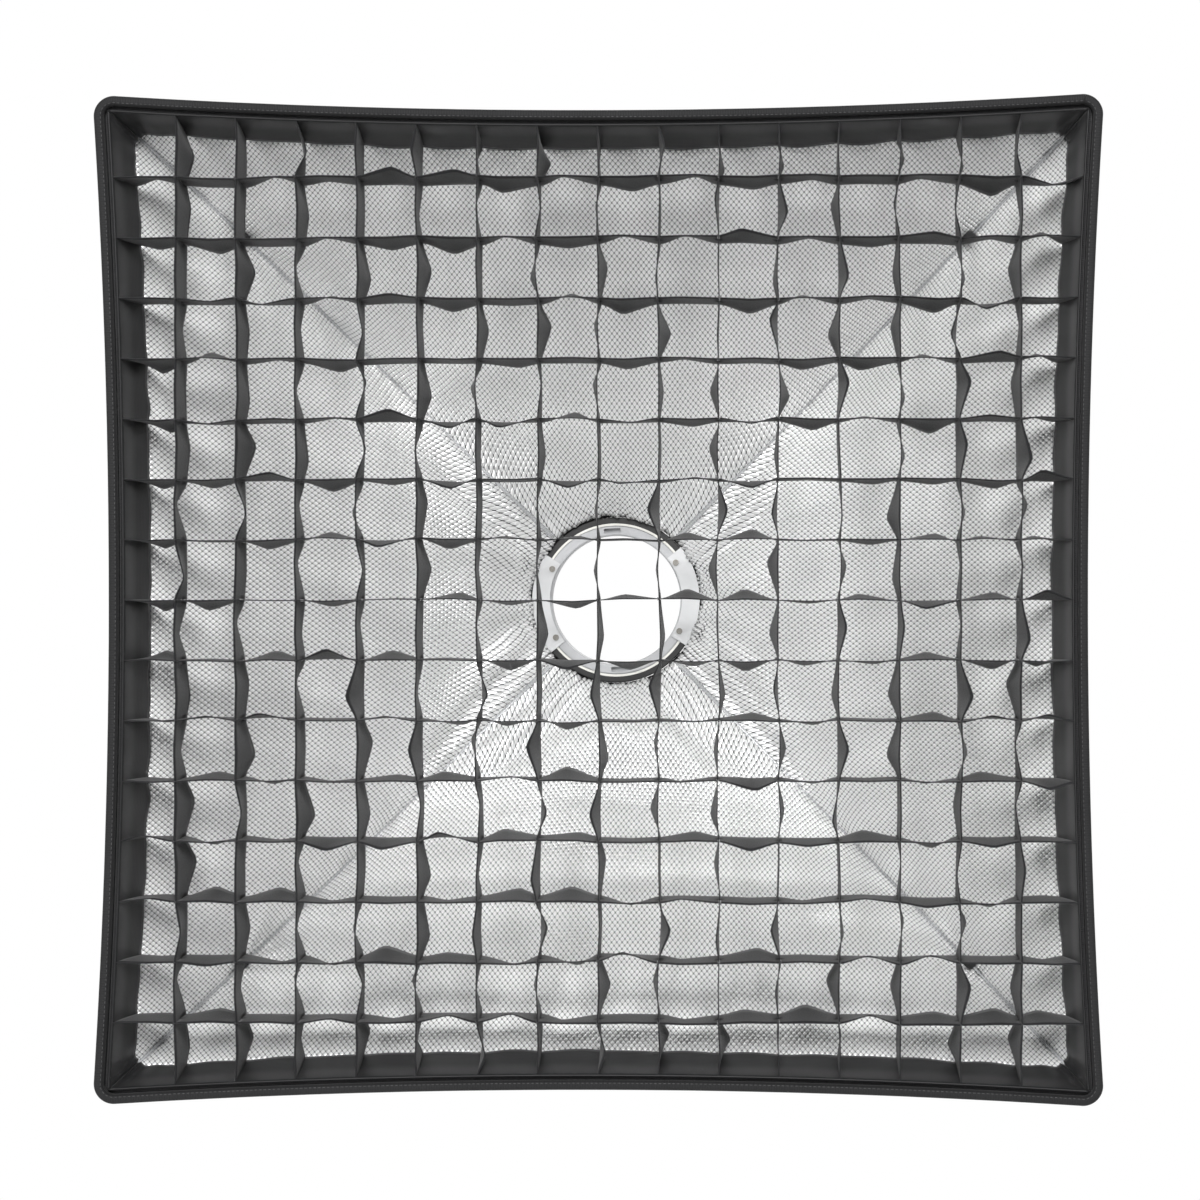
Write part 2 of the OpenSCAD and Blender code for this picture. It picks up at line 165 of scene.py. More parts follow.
def add_node(
    tree: bpy.types.NodeTree, kind: str, settings: dict | None = None, inputs: dict | None = None
) -> bpy.types.Node:
    """Adds a shader node with its settings and links.

    Args:
        tree: The material's or the world's node tree.
        kind: The node's type, without the ShaderNode prefix.
        settings: Values of the node's own properties.
        inputs: Values for its inputs by name or place; a socket is linked.

    Returns:
        The new node.
    """
    node = tree.nodes.new("ShaderNode" + kind)
    for name, value in (settings or {}).items():
        setattr(node, name, value)
    for name, value in (inputs or {}).items():
        if isinstance(value, bpy.types.NodeSocket):
            tree.links.new(value, node.inputs[name])
        else:
            node.inputs[name].default_value = value
    return node


@dataclass(frozen=True)
class Ripples:
    """Smooth repeatable unevenness, from -1 to 1, as a sum of seeded waves."""

    seed: int
    waves: int = 7
    spread: float = 0.5

    def at(self, x: Array, y: Array) -> Array:
        """Height at places x and y, both in wavelengths.

        Args:
            x: Places one way.
            y: Places the other way.

        Returns:
            The height at each place.
        """
        draw = np.random.default_rng(self.seed)
        total = np.zeros(np.broadcast(x, y).shape)
        for _ in range(self.waves):
            size = 1.0 + self.spread * draw.uniform(-1.0, 1.0)
            heading, phase = draw.uniform(0.0, 2.0 * math.pi, 2)
            step = 2.0 * math.pi * size
            total = total + np.sin(step * (x * math.cos(heading) + y * math.sin(heading)) + phase)
        return total / (RARE_PEAK * math.sqrt(self.waves))


# ---- finishes ----


class Weave(Enum):
    """How a cloth's surface is made."""

    PLAIN = "plain weave"
    EMBOSSED = "pressed pebbles"
    RIBBED = "ribs across the length"
    PILE = "raised pile"


@dataclass(frozen=True)
class Finish:
    """What every finish has: a colour, a gloss and a second tone, as worn patches on a hard finish and as
    painted shade in the gaps of a cloth.
    """

    name: str
    colour: str
    tone: str
    roughness: float
    metallic: float = 0.0
    ior: float = 1.5

    def material(self) -> bpy.types.Material:
        """Builds the material, or finds it if it has been built.

        Returns:
            The material.
        """
        known = bpy.data.materials.get(self.name)
        if known:
            return known
        made = bpy.data.materials.new(self.name)
        made.use_nodes = True
        tree = made.node_tree
        shader = tree.nodes["Principled BSDF"]
        shader.inputs["Roughness"].default_value = self.roughness
        shader.inputs["Metallic"].default_value = self.metallic
        if not self.metallic:
            shader.inputs["IOR"].default_value = self.ior
        made.diffuse_color = linear(self.colour)
        self.surface(tree, shader)
        return made

    def surface(self, tree: bpy.types.NodeTree, shader: bpy.types.Node) -> None:
        """Gives the shader its colour and relief."""
        raise NotImplementedError


@dataclass(frozen=True)
class Grained(Finish):
    """A hard finish: fine grain in its relief, and patches of a second tone."""

    grain_mm: float = 0.8
    relief_mm: float = 0.02
    patch_mm: float = 14.0
    gloss_spread: float = 0.08
    stretch: tuple[float, float, float] = (1.0, 1.0, 1.0)

    def surface(self, tree: bpy.types.NodeTree, shader: bpy.types.Node) -> None:
        """Fine noise lifts the surface, and broad noise shifts its tone and gloss.

        Args:
            tree: The material's node tree.
            shader: Its shader.
        """
        place = add_node(tree, "TexCoord").outputs["Object"]
        drawn = add_node(tree, "Mapping", {}, {"Vector": place, "Scale": self.stretch}).outputs["Vector"]
        sizes = ((self.grain_mm, 2.0), (self.patch_mm, 4.0))
        noises = [{"Vector": drawn, "Scale": 1.0 / (size * MM), "Detail": detail} for size, detail in sizes]
        grain, patch = (add_node(tree, "TexNoise", {}, noise).outputs["Fac"] for noise in noises)
        share = add_node(tree, "MapRange", {}, {"Value": patch, "From Min": 0.35, "From Max": 0.75})
        tones = {"Factor": share.outputs[0], 6: linear(self.colour), 7: linear(self.tone)}
        mixed = add_node(tree, "Mix", {"data_type": "RGBA"}, tones)
        low, high = max(0.05, self.roughness - self.gloss_spread), self.roughness + self.gloss_spread
        gloss = add_node(tree, "MapRange", {}, {"Value": patch, "To Min": low, "To Max": high})
        bump = add_node(tree, "Bump", {}, {"Height": grain, "Distance": self.relief_mm * MM})
        tree.links.new(mixed.outputs[2], shader.inputs["Base Color"])
        tree.links.new(gloss.outputs[0], shader.inputs["Roughness"])
        tree.links.new(bump.outputs["Normal"], shader.inputs["Normal"])


@dataclass(frozen=True)
class Cloth(Finish):
    """A cloth finish: a repeat across and along the cut, uneven handling and a sheen.

    Between the two heights of gap, from 0 to 1, the painted shade of its gaps gives way to its colour.
    """

    weave: Weave = Weave.PLAIN
    across_mm: float = 1.2
    along_mm: float = 1.2
    relief_mm: float = 0.12
    sheen: float = 0.04
    shine: float = 0.15
    blotch_mm: float = 60.0
    blotch: float = 0.12
    gap: tuple[float, float] = (0.0, 1.0)

    def height(self, tree: bpy.types.NodeTree) -> bpy.types.NodeSocket:
        """Adds the nodes of the repeat.

        Args:
            tree: The material's node tree.

        Returns:
            The socket that gives the repeat's height.
        """
        place = add_node(tree, "Attribute", {"attribute_name": CLOTH}).outputs["Vector"]
        if self.weave is Weave.PILE:
            fuzz = {"Vector": place, "Scale": 1.0 / self.across_mm, "Detail": 3.0}
            return add_node(tree, "TexNoise", {}, fuzz).outputs["Fac"]
        ways = [(1.0 / self.across_mm, 0.0, 0.0), (0.0, 1.0 / self.along_mm, 0.0)]
        if self.weave is Weave.EMBOSSED:
            ways = [(1.0 / self.across_mm, hand / self.along_mm, 0.0) for hand in (1.0, -1.0)]
        if self.weave is Weave.RIBBED:
            ways = ways[1:]
        height = None
        for way in ways:
            count = add_node(tree, "VectorMath", {"operation": "DOT_PRODUCT"}, {0: place, 1: way})
            turn = add_node(tree, "Math", {"operation": "MULTIPLY"}, {0: count.outputs["Value"], 1: math.pi})
            wave = add_node(tree, "Math", {"operation": "COSINE"}, {0: turn.outputs[0]})
            lobe = add_node(tree, "Math", {"operation": "ABSOLUTE"}, {0: wave.outputs[0]}).outputs[0]
            if height is not None:
                lobe = add_node(tree, "Math", {"operation": "MULTIPLY"}, {0: height, 1: lobe}).outputs[0]
            height = lobe
        return add_node(tree, "Math", {"operation": "POWER"}, {0: height, 1: 0.6}).outputs[0]

    def surface(self, tree: bpy.types.NodeTree, shader: bpy.types.Node) -> None:
        """The repeat lifts the cloth and paints shade into its gaps, and blotches vary its tone unevenly.

        Args:
            tree: The material's node tree.
            shader: Its shader.
        """
        height = self.height(tree)
        # The second tone is painted shade: it darkens the low places of the repeat, and the colour holds on
        # the high places.
        limits = {"Value": height, "From Min": self.gap[0], "From Max": self.gap[1]}
        share = add_node(tree, "MapRange", {}, limits).outputs[0]
        tones = {"Factor": share, 6: linear(self.tone), 7: linear(self.colour)}
        mixed = add_node(tree, "Mix", {"data_type": "RGBA"}, tones)
        place = add_node(tree, "TexCoord").outputs["Object"]
        patches = {"Vector": place, "Scale": 1.0 / (self.blotch_mm * MM), "Detail": 5.0}
        patch = add_node(tree, "TexNoise", {}, patches).outputs["Fac"]
        limits = {"From Min": 0.3, "From Max": 0.7, "To Min": 1.0 - self.blotch, "To Max": 1.0 + self.blotch}
        shade = add_node(tree, "MapRange", {}, {"Value": patch, **limits}).outputs[0]
        shaded = add_node(tree, "VectorMath", {"operation": "SCALE"}, {0: mixed.outputs[2], "Scale": shade})
        bump = add_node(tree, "Bump", {}, {"Height": height, "Distance": self.relief_mm * MM})
        tree.links.new(shaded.outputs[0], shader.inputs["Base Color"])
        tree.links.new(bump.outputs["Normal"], shader.inputs["Normal"])
        shader.inputs["Specular IOR Level"].default_value = self.shine
        shader.inputs["Sheen Weight"].default_value = self.sheen
        shader.inputs["Sheen Roughness"].default_value = 0.5


# Powder coat over cast and pressed metal, a pale grey-white: satin, with a faint orange peel. The insert's
# coat is a darker copy of the plates' coat, its extra grey painted shade.
SHADED_INSERT_COAT = Grained("white_powder_coat", "#B5B6B8", "#ABACAE", 0.42, grain_mm=0.9, relief_mm=0.015)
PLATE_COAT = Grained("white_powder_coat_plate", "#CDCECF", "#C4C5C6", 0.38, grain_mm=0.9, relief_mm=0.012)
# Black powder coat on the turned steel ring: the same peel, duller.
RING_BLACK = Grained("black_powder_coat", "#0C0C0C", "#141414", 0.55, grain_mm=0.9, relief_mm=0.02)
# Black enamel on a welded tube and foot, rubbed where the rod goes in.
SOCKET_BLACK = Grained("black_enamel", "#1B1B1C", "#303031", 0.4, grain_mm=1.4, relief_mm=0.02)
# Bright zinc on pressed steel: a cool, cloudy shine.
ZINC = Grained("bright_zinc_plate", "#C3C5C8", "#A8ABB0", 0.34, metallic=1.0, grain_mm=1.0, patch_mm=6.0)
# Nickel on machine screws, dulled by handling: a darker, warm shine.
NICKEL = Grained("nickel_plate", "#84827E", "#6C6963", 0.3, metallic=1.0, grain_mm=0.5, patch_mm=3.0)
# Aluminium rivets, set by hammer: dull and dented.
ALUMINIUM = Grained("bare_aluminium", "#C9CACC", "#A9ABAE", 0.42, metallic=1.0, grain_mm=0.7, patch_mm=2.0)
# Drawn spring steel: dark, with fine lines along the pull.
SPRING_STEEL = Grained("drawn_spring_steel", "#7D7F83", "#5F6165", 0.36, metallic=1.0, grain_mm=0.4)
# Turned brass ferrule: warm, with rings from the tool.
BRASS = Grained(
    "turned_brass", "#C9A45C", "#A9823F", 0.32, metallic=1.0, grain_mm=0.5, stretch=(1.0, 3.0, 1.0)
)
# Moulded rubber cap: matt, with a grey bloom.
RUBBER = Grained("moulded_rubber", "#1A1A1A", "#292929", 0.8, ior=1.52, grain_mm=0.6, relief_mm=0.03)
# Natural acetal wear ring: a waxy, slightly yellow white.
ACETAL = Grained("natural_acetal", "#E6E5DF", "#DAD9D2", 0.35, ior=1.48, grain_mm=1.2, relief_mm=0.008)

# Threads of 0.2 to 0.4 mm would not show, so each plain weave below is drawn three to five times as coarse.
# Each cloth's second colour below is painted shade, laid into the low places of its weave, pile or pressing.
# Silver-coated polyester, pressed with a lattice of pebbles 4 mm apart: bright tops, and painted shade in
# the gaps between them.
SILVER = Cloth(
    "embossed_silver_polyester", "#FFFFFF", "#2E2F32", 0.3, metallic=0.52, weave=Weave.EMBOSSED,
    across_mm=4.5, along_mm=6.8, relief_mm=0.7, sheen=0.0, shine=0.5,
    blotch_mm=90.0, blotch=0.04, gap=(0.17, 0.34),
)
# The same cloth without its pressing, as the felled tapes over the seams.
SILVER_TAPE = Cloth(
    "smooth_silver_tape", "#E4E5E6", "#BDBEC0", 0.34, metallic=0.5,
    across_mm=1.6, along_mm=1.6, relief_mm=0.06, sheen=0.0, shine=0.5, blotch=0.05,
)
# Coated nylon cover, plain weave of 0.3 mm threads: dull, with a low sheen where light rakes it.
COVER_BLACK = Cloth("coated_nylon_cover", "#1B1B1D", "#0F0F10", 0.55, relief_mm=0.12)
# Satin nylon of the grid's band: smoother, with a soft light along its folds.
BAND_BLACK = Cloth(
    "satin_nylon_band", "#121213", "#0C0C0D", 0.42, across_mm=1.0, along_mm=2.2, relief_mm=0.05, shine=0.22
)
# Doubled nylon of the strips: matt and a little greyer where light rakes it.
STRIP_BLACK = Cloth(
    "doubled_nylon_strip", "#161618", "#0F0F10", 0.6, across_mm=1.1, along_mm=1.1, relief_mm=0.08, sheen=0.08
)
# Grosgrain binding: ribs 1.3 mm apart across its length.
BINDING = Cloth(
    "ribbed_grosgrain", "#19191A", "#080808", 0.65, weave=Weave.RIBBED, along_mm=1.3, relief_mm=0.25
)
# Woven polypropylene webbing, its bundles 2 mm wide: coarse, with a dull gloss.
WEBBING = Cloth("woven_webbing", "#1C1C1D", "#0E0E0E", 0.5, across_mm=2.4, along_mm=1.8, relief_mm=0.3)
# Brushed loop tape: a fuzz without direction.
LOOP_PILE = Cloth(
    "brushed_loop_tape", "#3A3A3B", "#161616", 0.9, weave=Weave.PILE, across_mm=0.9, relief_mm=0.9, sheen=0.1
)
# Moulded hook tape: rows of stems 1.5 mm apart, with a hard glint.
HOOK_TAPE = Cloth(
    "moulded_hook_tape", "#303031", "#0D0D0D", 0.45, across_mm=1.5, along_mm=1.5, relief_mm=0.7, sheen=0.0
)
# Ruched elastic hem: ribs gathered by the cord inside.
ELASTIC = Cloth(
    "ruched_elastic", "#202021", "#0F0F10", 0.6, weave=Weave.RIBBED, along_mm=2.6, relief_mm=0.4
)
# Bonded polyester thread, black and silver-grey.
THREAD_BLACK = Grained("black_bonded_thread", "#2C2C2D", "#1B1B1C", 0.45, grain_mm=0.5, relief_mm=0.05)
THREAD_GREY = Grained("grey_bonded_thread", "#8C8D8F", "#707173", 0.45, grain_mm=0.5, relief_mm=0.05)


# ---- meshes ----


def quads(rows: int, cols: int, wrap_rows: bool, wrap_cols: bool) -> list[tuple[int, int, int, int]]:
    """Faces of a grid of points.

    Args:
        rows: Rows of points.
        cols: Points in a row.
        wrap_rows: Whether the last row joins the first.
        wrap_cols: Whether the last point of a row joins its first.

    Returns:
        Each face as four places in the grid, row by row.
    """
    places = np.arange(rows * cols).reshape(rows, cols)
    if wrap_rows:
        places = np.vstack([places, places[:1]])
    if wrap_cols:
        places = np.hstack([places, places[:, :1]])
    around = (places[:-1, :-1], places[:-1, 1:], places[1:, 1:], places[1:, :-1])
    return [tuple(face) for face in np.stack(around, axis=-1).reshape(-1, 4).tolist()]


def make_object(
    name: str, points: Array, faces: list[tuple[int, ...]], finish: Finish, cloth: Array | None = None
) -> bpy.types.Object:
    """Makes a smooth-shaded mesh object.

    Args:
        name: The piece's name.
        points: Its points in millimetres.
        faces: Its faces, as places in points.
        finish: The finish it takes.
        cloth: Where each point lies on the flat cloth, in millimetres across and along.

    Returns:
        The new object, linked to the scene.
    """
    flat = np.asarray(points, float).reshape(-1, 3) * MM
    mesh = bpy.data.meshes.new(name)
    mesh.from_pydata(flat.tolist(), [], faces)
    mesh.validate()
    mesh.shade_smooth()
    if cloth is not None:
        layout = mesh.attributes.new(CLOTH, "FLOAT_VECTOR", "POINT")
        padded = np.zeros((len(flat), 3), np.float32)
        padded[:, :2] = np.asarray(cloth, float).reshape(-1, 2)
        layout.data.foreach_set("vector", padded.ravel())
    mesh.materials.append(finish.material())
    made = bpy.data.objects.new(name, mesh)
    bpy.context.scene.collection.objects.link(made)
    return made


def make_sheet(
    name: str,
    points: Array,
    finish: Finish,
    thickness: float,
    cloth: Array,
    wrap: bool = False,
    gaps: Array | None = None,
) -> bpy.types.Object:
    """Makes a piece of cloth from a grid of points on its middle surface.

    Args:
        name: The piece's name.
        points: Rows and columns of points.
        finish: The finish it takes.
        thickness: How thick the cloth is.
        cloth: Where each point lies on the flat cloth.
        wrap: Whether the columns close into a ring.
        gaps: For each face of the grid, whether it is left out.

    Returns:
        The new object, with its thickness as a modifier.
    """
    rows, cols = points.shape[:2]
    faces = quads(rows, cols, False, wrap)
    if gaps is not None:
        faces = [face for face, gap in zip(faces, gaps.ravel()) if not gap]
    made = make_object(name, points, faces, finish, cloth)
    shell = made.modifiers.new("thickness", "SOLIDIFY")
    shell.thickness = thickness * MM
    shell.offset = 0.0
    return made


def make_tube(
    name: str, rings: Array, finish: Finish, cloth: Array | None = None, loop: bool = False
) -> bpy.types.Object:
    """Makes a closed tube from rings of points.

    Args:
        name: The piece's name.
        rings: Rings along the tube, each a closed loop of points.
        finish: The finish it takes.
        cloth: Where each point lies on the flat cloth.
        loop: Whether the tube closes on itself, and has no ends.

    Returns:
        The new object.
    """
    count, around = rings.shape[:2]
    faces: list[tuple[int, ...]] = list(quads(count, around, loop, True))
    if not loop:
        faces.append(tuple(reversed(range(around))))
        faces.append(tuple(range((count - 1) * around, count * around)))
    return make_object(name, rings, faces, finish, cloth)


def place(piece: bpy.types.Object, body: str, slot: str, *nodes: str) -> bpy.types.Object:
    """Rides a piece on a body, and hides the CAD nodes it stands for.

    Args:
        piece: The piece.
        body: The CAD body it moves with.
        slot: Not used.
        nodes: The CAD nodes it replaces.

    Returns:
        The piece.
    """
    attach(piece, body)
    if nodes:
        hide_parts(*nodes)
    LOG.info("%s: %d faces on %s", piece.name, len(piece.data.polygons), body)
    return piece


def dress(node: bpy.types.Object, finish: Finish) -> None:
    """Gives a CAD node its finish.

    Args:
        node: The node's object.
        finish: The finish it takes.
    """
    if not node.material_slots:
        node.data.materials.append(None)
    for socket in node.material_slots:
        socket.material = finish.material()
    LOG.info("%s: %s", node.name, finish.name)


@dataclass(frozen=True)
class Stitching:
    """Rows of machine stitches, joined into one piece.

    A stitch shows for a share of the pitch and sinks into the cloth at its ends, as shape says: each pair
    is a place along it and its size there.
    """

    pitch: float = 4.2
    thread: float = 0.55
    showing: float = 0.74
    lift: float = 0.35
    sides: int = 5
    shape: tuple[tuple[float, float], ...] = ((0.0, 0.25), (0.2, 1.0), (0.5, 1.1), (0.8, 1.0), (1.0, 0.25))

    def lay(self, name: str, lines: list[tuple[Array, Array]], finish: Finish) -> bpy.types.Object:
        """Lays stitches along lines.

        Args:
            name: The piece's name.
            lines: Each line's points, and the way up off the cloth at each of them.
            finish: The thread's finish.

        Returns:
            The new object.
        """
        turns = np.linspace(0, 2 * math.pi, self.sides + 1)[:-1]
        stitches: list[Array] = []
        for line, up in lines:
            run = run_along(line)
            starts = np.arange(0.0, run[-1] - 0.8 * self.pitch, self.pitch)
            rings = []
            for share, swell in self.shape:
                at = starts + share * self.showing * self.pitch
                centre, lift = sampled(at, run, line), sampled(at, run, up)
                side = unit(np.cross(sampled(at + 0.5, run, line) - centre, lift))
                middle = centre + lift * self.thread * self.lift * swell
                half = self.thread / 2 * swell
                ring = [middle + half * (math.cos(a) * side + math.sin(a) * lift) for a in turns]
                rings.append(np.stack(ring, axis=1))
            stitches.append(np.stack(rings, axis=1).reshape(-1, 3))
        points = np.concatenate(stitches)
        rings_each, each = len(self.shape), len(self.shape) * self.sides
        one = quads(rings_each, self.sides, False, True)
        one += [tuple(range(self.sides))[::-1], tuple(range(each - self.sides, each))]
        faces = [tuple(base + k for k in face) for base in range(0, len(points), each) for face in one]
        return make_object(name, points, faces, finish)


# ---- the taut fabric's shape ----


@dataclass(frozen=True)
class Shell:
    """Shape of the fabric between the rim and the ring, as the CAD has it.

    A place on a side is t along the corner seams, from 0 at the rim to 1 at the ring, and u across
    from -1 to 1. A layer k is counted from the seam, positive towards the inside.
    """

    rim_w: float
    box_depth: float
    rim_bow: float = 12.0
    corner_r: float = 16.0
    binding_w: float = 7.4
    binding_d: float = 7.7
    seam_inset: float = 6.5
    seam_setback: float = 8.0
    lip_depth: float = 45.0
    lip_draft: float = 11.0
    lip_end: float = 0.1
    seam_bow: float = 45.0
    panel_sag: float = 40.0
    sag_peak: float = 0.62
    neck_pull: float = 18.0
    neck_start: float = 0.58
    collar_r: float = 78.0
    collar_y: float = -20.7

    def rim_point(self) -> tuple[float, float]:
        """The seam's front end, out from the axis and along Y."""
        return ROOT2 * (self.rim_w / 2 - self.seam_inset), self.seam_setback - self.box_depth

    def lip_point(self) -> tuple[float, float]:
        """Where the lip ends and the seam's arc starts."""
        out, along = self.rim_point()
        return out - ROOT2 * self.lip_draft, along + self.lip_depth

    def arc(self) -> tuple[float, float, float, float, float]:
        """The arc that the seam follows behind the lip.

        Returns:
            The centre's distance out and place along Y, the radius, and the angles at lip and ring.
        """
        front, back = self.lip_point(), (self.collar_r, self.collar_y)
        chord = math.dist(front, back)
        along = ((back[0] - front[0]) / chord, (back[1] - front[1]) / chord)
        radius = (chord * chord / 4 + self.seam_bow**2) / (2 * self.seam_bow)
        reach = radius - self.seam_bow
        centre = ((front[0] + back[0]) / 2 - reach * along[1], (front[1] + back[1]) / 2 + reach * along[0])
        start = math.atan2(front[1] - centre[1], front[0] - centre[0])
        end = math.atan2(back[1] - centre[1], back[0] - centre[0])
        return centre[0], centre[1], radius, start, end

    def angle(self, t: Array) -> Array:
        """The arc's angle at t."""
        start, end = self.arc()[3:]
        return start + (np.asarray(t, float) - self.lip_end) / (1 - self.lip_end) * (end - start)

    def place_of(self, angle: Array) -> Array:
        """The place t of an angle on the arc."""
        start, end = self.arc()[3:]
        return self.lip_end + (angle - start) / (end - start) * (1 - self.lip_end)

    def neck(self, t: Array) -> Array:
        """How far the fabric is drawn off the rod's arc at t, by neck_pull where it is most."""
        s = np.maximum(0.0, (np.asarray(t, float) - self.neck_start) / (1 - self.neck_start))
        return self.neck_pull * 27 / 4 * s * s * (1 - s)

    def seam(self, t: Array) -> tuple[Array, Array]:
        """The corner seam at t, out from the axis and along Y.

        Args:
            t: Places along the seams.

        Returns:
            Distances out along the diagonal, and places along Y.
        """
        t = np.asarray(t, float)
        in_lip, share = t < self.lip_end, t / self.lip_end
        out_c, along_c, radius = self.arc()[:3]
        reach, angle = radius - self.neck(t), self.angle(t)
        rim, lip = self.rim_point(), self.lip_point()
        out = np.where(in_lip, rim[0] + (lip[0] - rim[0]) * share, out_c + reach * np.cos(angle))
        along = np.where(in_lip, rim[1] + (lip[1] - rim[1]) * share, along_c + reach * np.sin(angle))
        return out, along

    def bow(self, t: Array) -> Array:
        """Inward bow of a side's middle at t; it ends negative, as the ring is round.

        Args:
            t: Places along the seams.

        Returns:
            How far the side's middle lies inside its ends.
        """
        front = self.rim_bow + (self.panel_sag - self.rim_bow) * smooth(0.0, self.sag_peak, t)
        back = self.collar_r / ROOT2 - self.collar_r
        return front + (back - front) * smooth(self.sag_peak, 1.0, t)

    def half(self, t: Array, k: Array = 0.0) -> Array:
        """Half the width of the shell at t and layer k."""
        return self.seam(t)[0] / ROOT2 - np.asarray(k, float) / ROOT2

    def point(self, t: Array, u: Array, k: Array) -> Array:
        """Points of the top side.

        Args:
            t: Places along the seams.
            u: Places across.
            k: Layers.

        Returns:
            The points with x, y and z in the last axis.
        """
        t, u, k = np.broadcast_arrays(np.asarray(t, float), u, k)
        half = self.half(t, k)
        height = half - self.bow(t) * (1 - u * u)
        return np.stack([u * half, self.seam(t)[1] - k / ROOT2, height], axis=-1)

    def height_at(self, t: Array, k: float, x: Array) -> Array:
        """Height of the top side above the axis, x off its middle."""
        half = self.half(t, k)
        return half - self.bow(t) * (1 - (x / half) ** 2)

    def slope(self, t: Array) -> Array:
        """Distance down the middle of a side from the rim to t, by adding up short steps."""
        fine = np.linspace(-0.02, 1.0, 1021)
        return np.interp(t, fine, run_along(self.point(fine, 0.0, 0.0)))

    def stitch_row(self, side: int, t: float, u: Array, k: float) -> tuple[Array, Array]:
        """A row of stitches.

        Args:
            side: Place of the side in SIDES.
            t: Places along the seams.
            u: Places across.
            k: The layer it lies in; it stands up outwards where that is negative.

        Returns:
            The row's points, and the way up off the cloth at each of them.
        """
        low, high = (turned(self.point(t, u, layer), side) for layer in (k, k + math.copysign(1.0, k)))
        return low, unit(high - low)

    def rim_path(self, inset: Array, steps: int = 60) -> Array:
        """The rim's outline, drawn in from its outer edge.

        Args:
            inset: Distances in from the outer edge.
            steps: Steps along each side.

        Returns:
            Points x and z, with one row for each place on the outline and one column for each inset.
        """
        h, bow = self.rim_w / 2, self.rim_bow
        inset = np.atleast_1d(np.asarray(inset, float))
        reach, round_r = h - self.corner_r, self.corner_r - inset
        quarter = np.radians(90.0 + 7.5 * np.arange(1, 12))
        rows = []
        for side in range(4):
            along = [(u * reach, h - inset - bow * (1 - u * u)) for u in np.linspace(1, -1, steps)]
            along += [(-reach + round_r * math.cos(a), reach + round_r * math.sin(a)) for a in quarter]
            for x, z in along:
                flat = np.stack([x + 0 * inset, 0 * inset, z + 0 * inset], axis=-1)
                rows.append(turned(flat, side)[:, [0, 2]])
        return np.array(rows)


@dataclass(frozen=True)
class Wrinkles:
    """How the taut cloth is uneven: broad waves, neck folds, puckered seams and a gathered edge.

    Heights are along a layer's direction. They fade to nothing at the seams and the lip.
    """

    shell: Shell
    wave_mm: float = 120.0
    wave_height: float = 1.5
    crease_mm: tuple[float, float] = (150.0, 210.0)
    crease_height: float = 1.6
    side_depth: tuple[float, ...] = (0.7, 1.2, 1.15, 0.9)
    fold_height: float = 6.2
    seam_fade: float = 22.0
    pucker_mm: float = 15.0
    pucker_height: float = 0.8
    pucker_reach: float = 13.0
    tab_at: float = 0.33
    tab_reach: float = 34.0
    tab_height: float = 2.0
    gather_height: float = 2.0

    def height(self, side: int, t: Array, u: Array) -> Array:
        """How far the cloth stands in at places on a side.

        Args:
            side: Place of the side in SIDES.
            t: Places along the seams.
            u: Places across.

        Returns:
            Heights in millimetres, positive towards the inside.
        """
        t, u = np.broadcast_arrays(np.asarray(t, float), u)
        half = self.shell.half(t)
        x, run = u * half, self.shell.slope(t)
        off_seam = (1 - np.abs(u)) * half
        lip_end = self.shell.lip_end
        clear = smooth(0.0, self.seam_fade, off_seam) * smooth(lip_end, lip_end + 0.07, t)
        broad = self.wave_height * Ripples(11 + side).at(x / self.wave_mm, run / self.wave_mm)
        wide, long = self.crease_mm
        ridge = 1.0 - np.abs(Ripples(31 + side, waves=4, spread=0.3).at(x / wide, run / long)) ** 0.55
        high = clear * (broad + self.crease_height * ridge * smooth(0.15, 0.35, t))
        high += self.folds(side, t, u) * smooth(0.0, 0.14, 1 - np.abs(u))
        high += self.puckers(side, t, off_seam) * smooth(0.0, 3.0, off_seam)
        high += self.tab_pull(t, off_seam)
        return high * smooth(lip_end, lip_end + 0.02, t)

    def folds(self, side: int, t: Array, u: Array) -> Array:
        """Folds that run out from the ring, deeper at the lower left, and crinkles at its edge.

        Args:
            side: Place of the side in SIDES.
            t: Places along the seams.
            u: Places across.

        Returns:
            Heights in millimetres.
        """
        fan = Ripples(51 + side, waves=5, spread=0.6).at(u * 2.3, t * 0.8)
        sharp = np.sign(fan) * np.abs(fan) ** 0.8
        swell = smooth(0.62, 0.84, t) * (1 - 0.8 * smooth(0.9, 1.0, t))
        gather = Ripples(71 + side, waves=5, spread=0.4).at(u * 13.0, t * 2.0)
        edge = smooth(0.92, 1.0, t) * self.gather_height
        return self.side_depth[side] * self.fold_height * sharp * swell + gather * edge

    def puckers(self, side: int, t: Array, off_seam: Array) -> Array:
        """Short ripples where the cloth is sewn to its neighbour.

        Args:
            side: Place of the side in SIDES.
            t: Places along the seams.
            off_seam: Distances off the nearer seam.

        Returns:
            Heights in millimetres.
        """
        run = self.shell.seam(t)[0]
        lean = run / self.pucker_mm + off_seam / (2.5 * self.pucker_mm)
        wave = Ripples(91 + side, waves=3, spread=0.35).at(lean, 0.0 * lean)
        return self.pucker_height * wave * np.exp(-off_seam / self.pucker_reach)

    def tab_pull(self, t: Array, off_seam: Array) -> Array:
        """The star of short folds round a tab in the seam.

        Args:
            t: Places along the seams.
            off_seam: Distances off the nearer seam.

        Returns:
            Heights in millimetres.
        """
        seam_out, seam_y = self.shell.seam(t)
        tab_out, tab_y = self.shell.seam(self.tab_at)
        along = np.hypot(seam_out - tab_out, seam_y - tab_y) * np.sign(t - self.tab_at)
        away = np.hypot(along, off_seam)
        star = np.cos(6.0 * np.arctan2(off_seam, along)) * np.exp(-away / self.tab_reach)
        return self.tab_height * star * smooth(2.0, 16.0, away) * smooth(0.0, 6.0, off_seam)


# ---- fabric shell ----


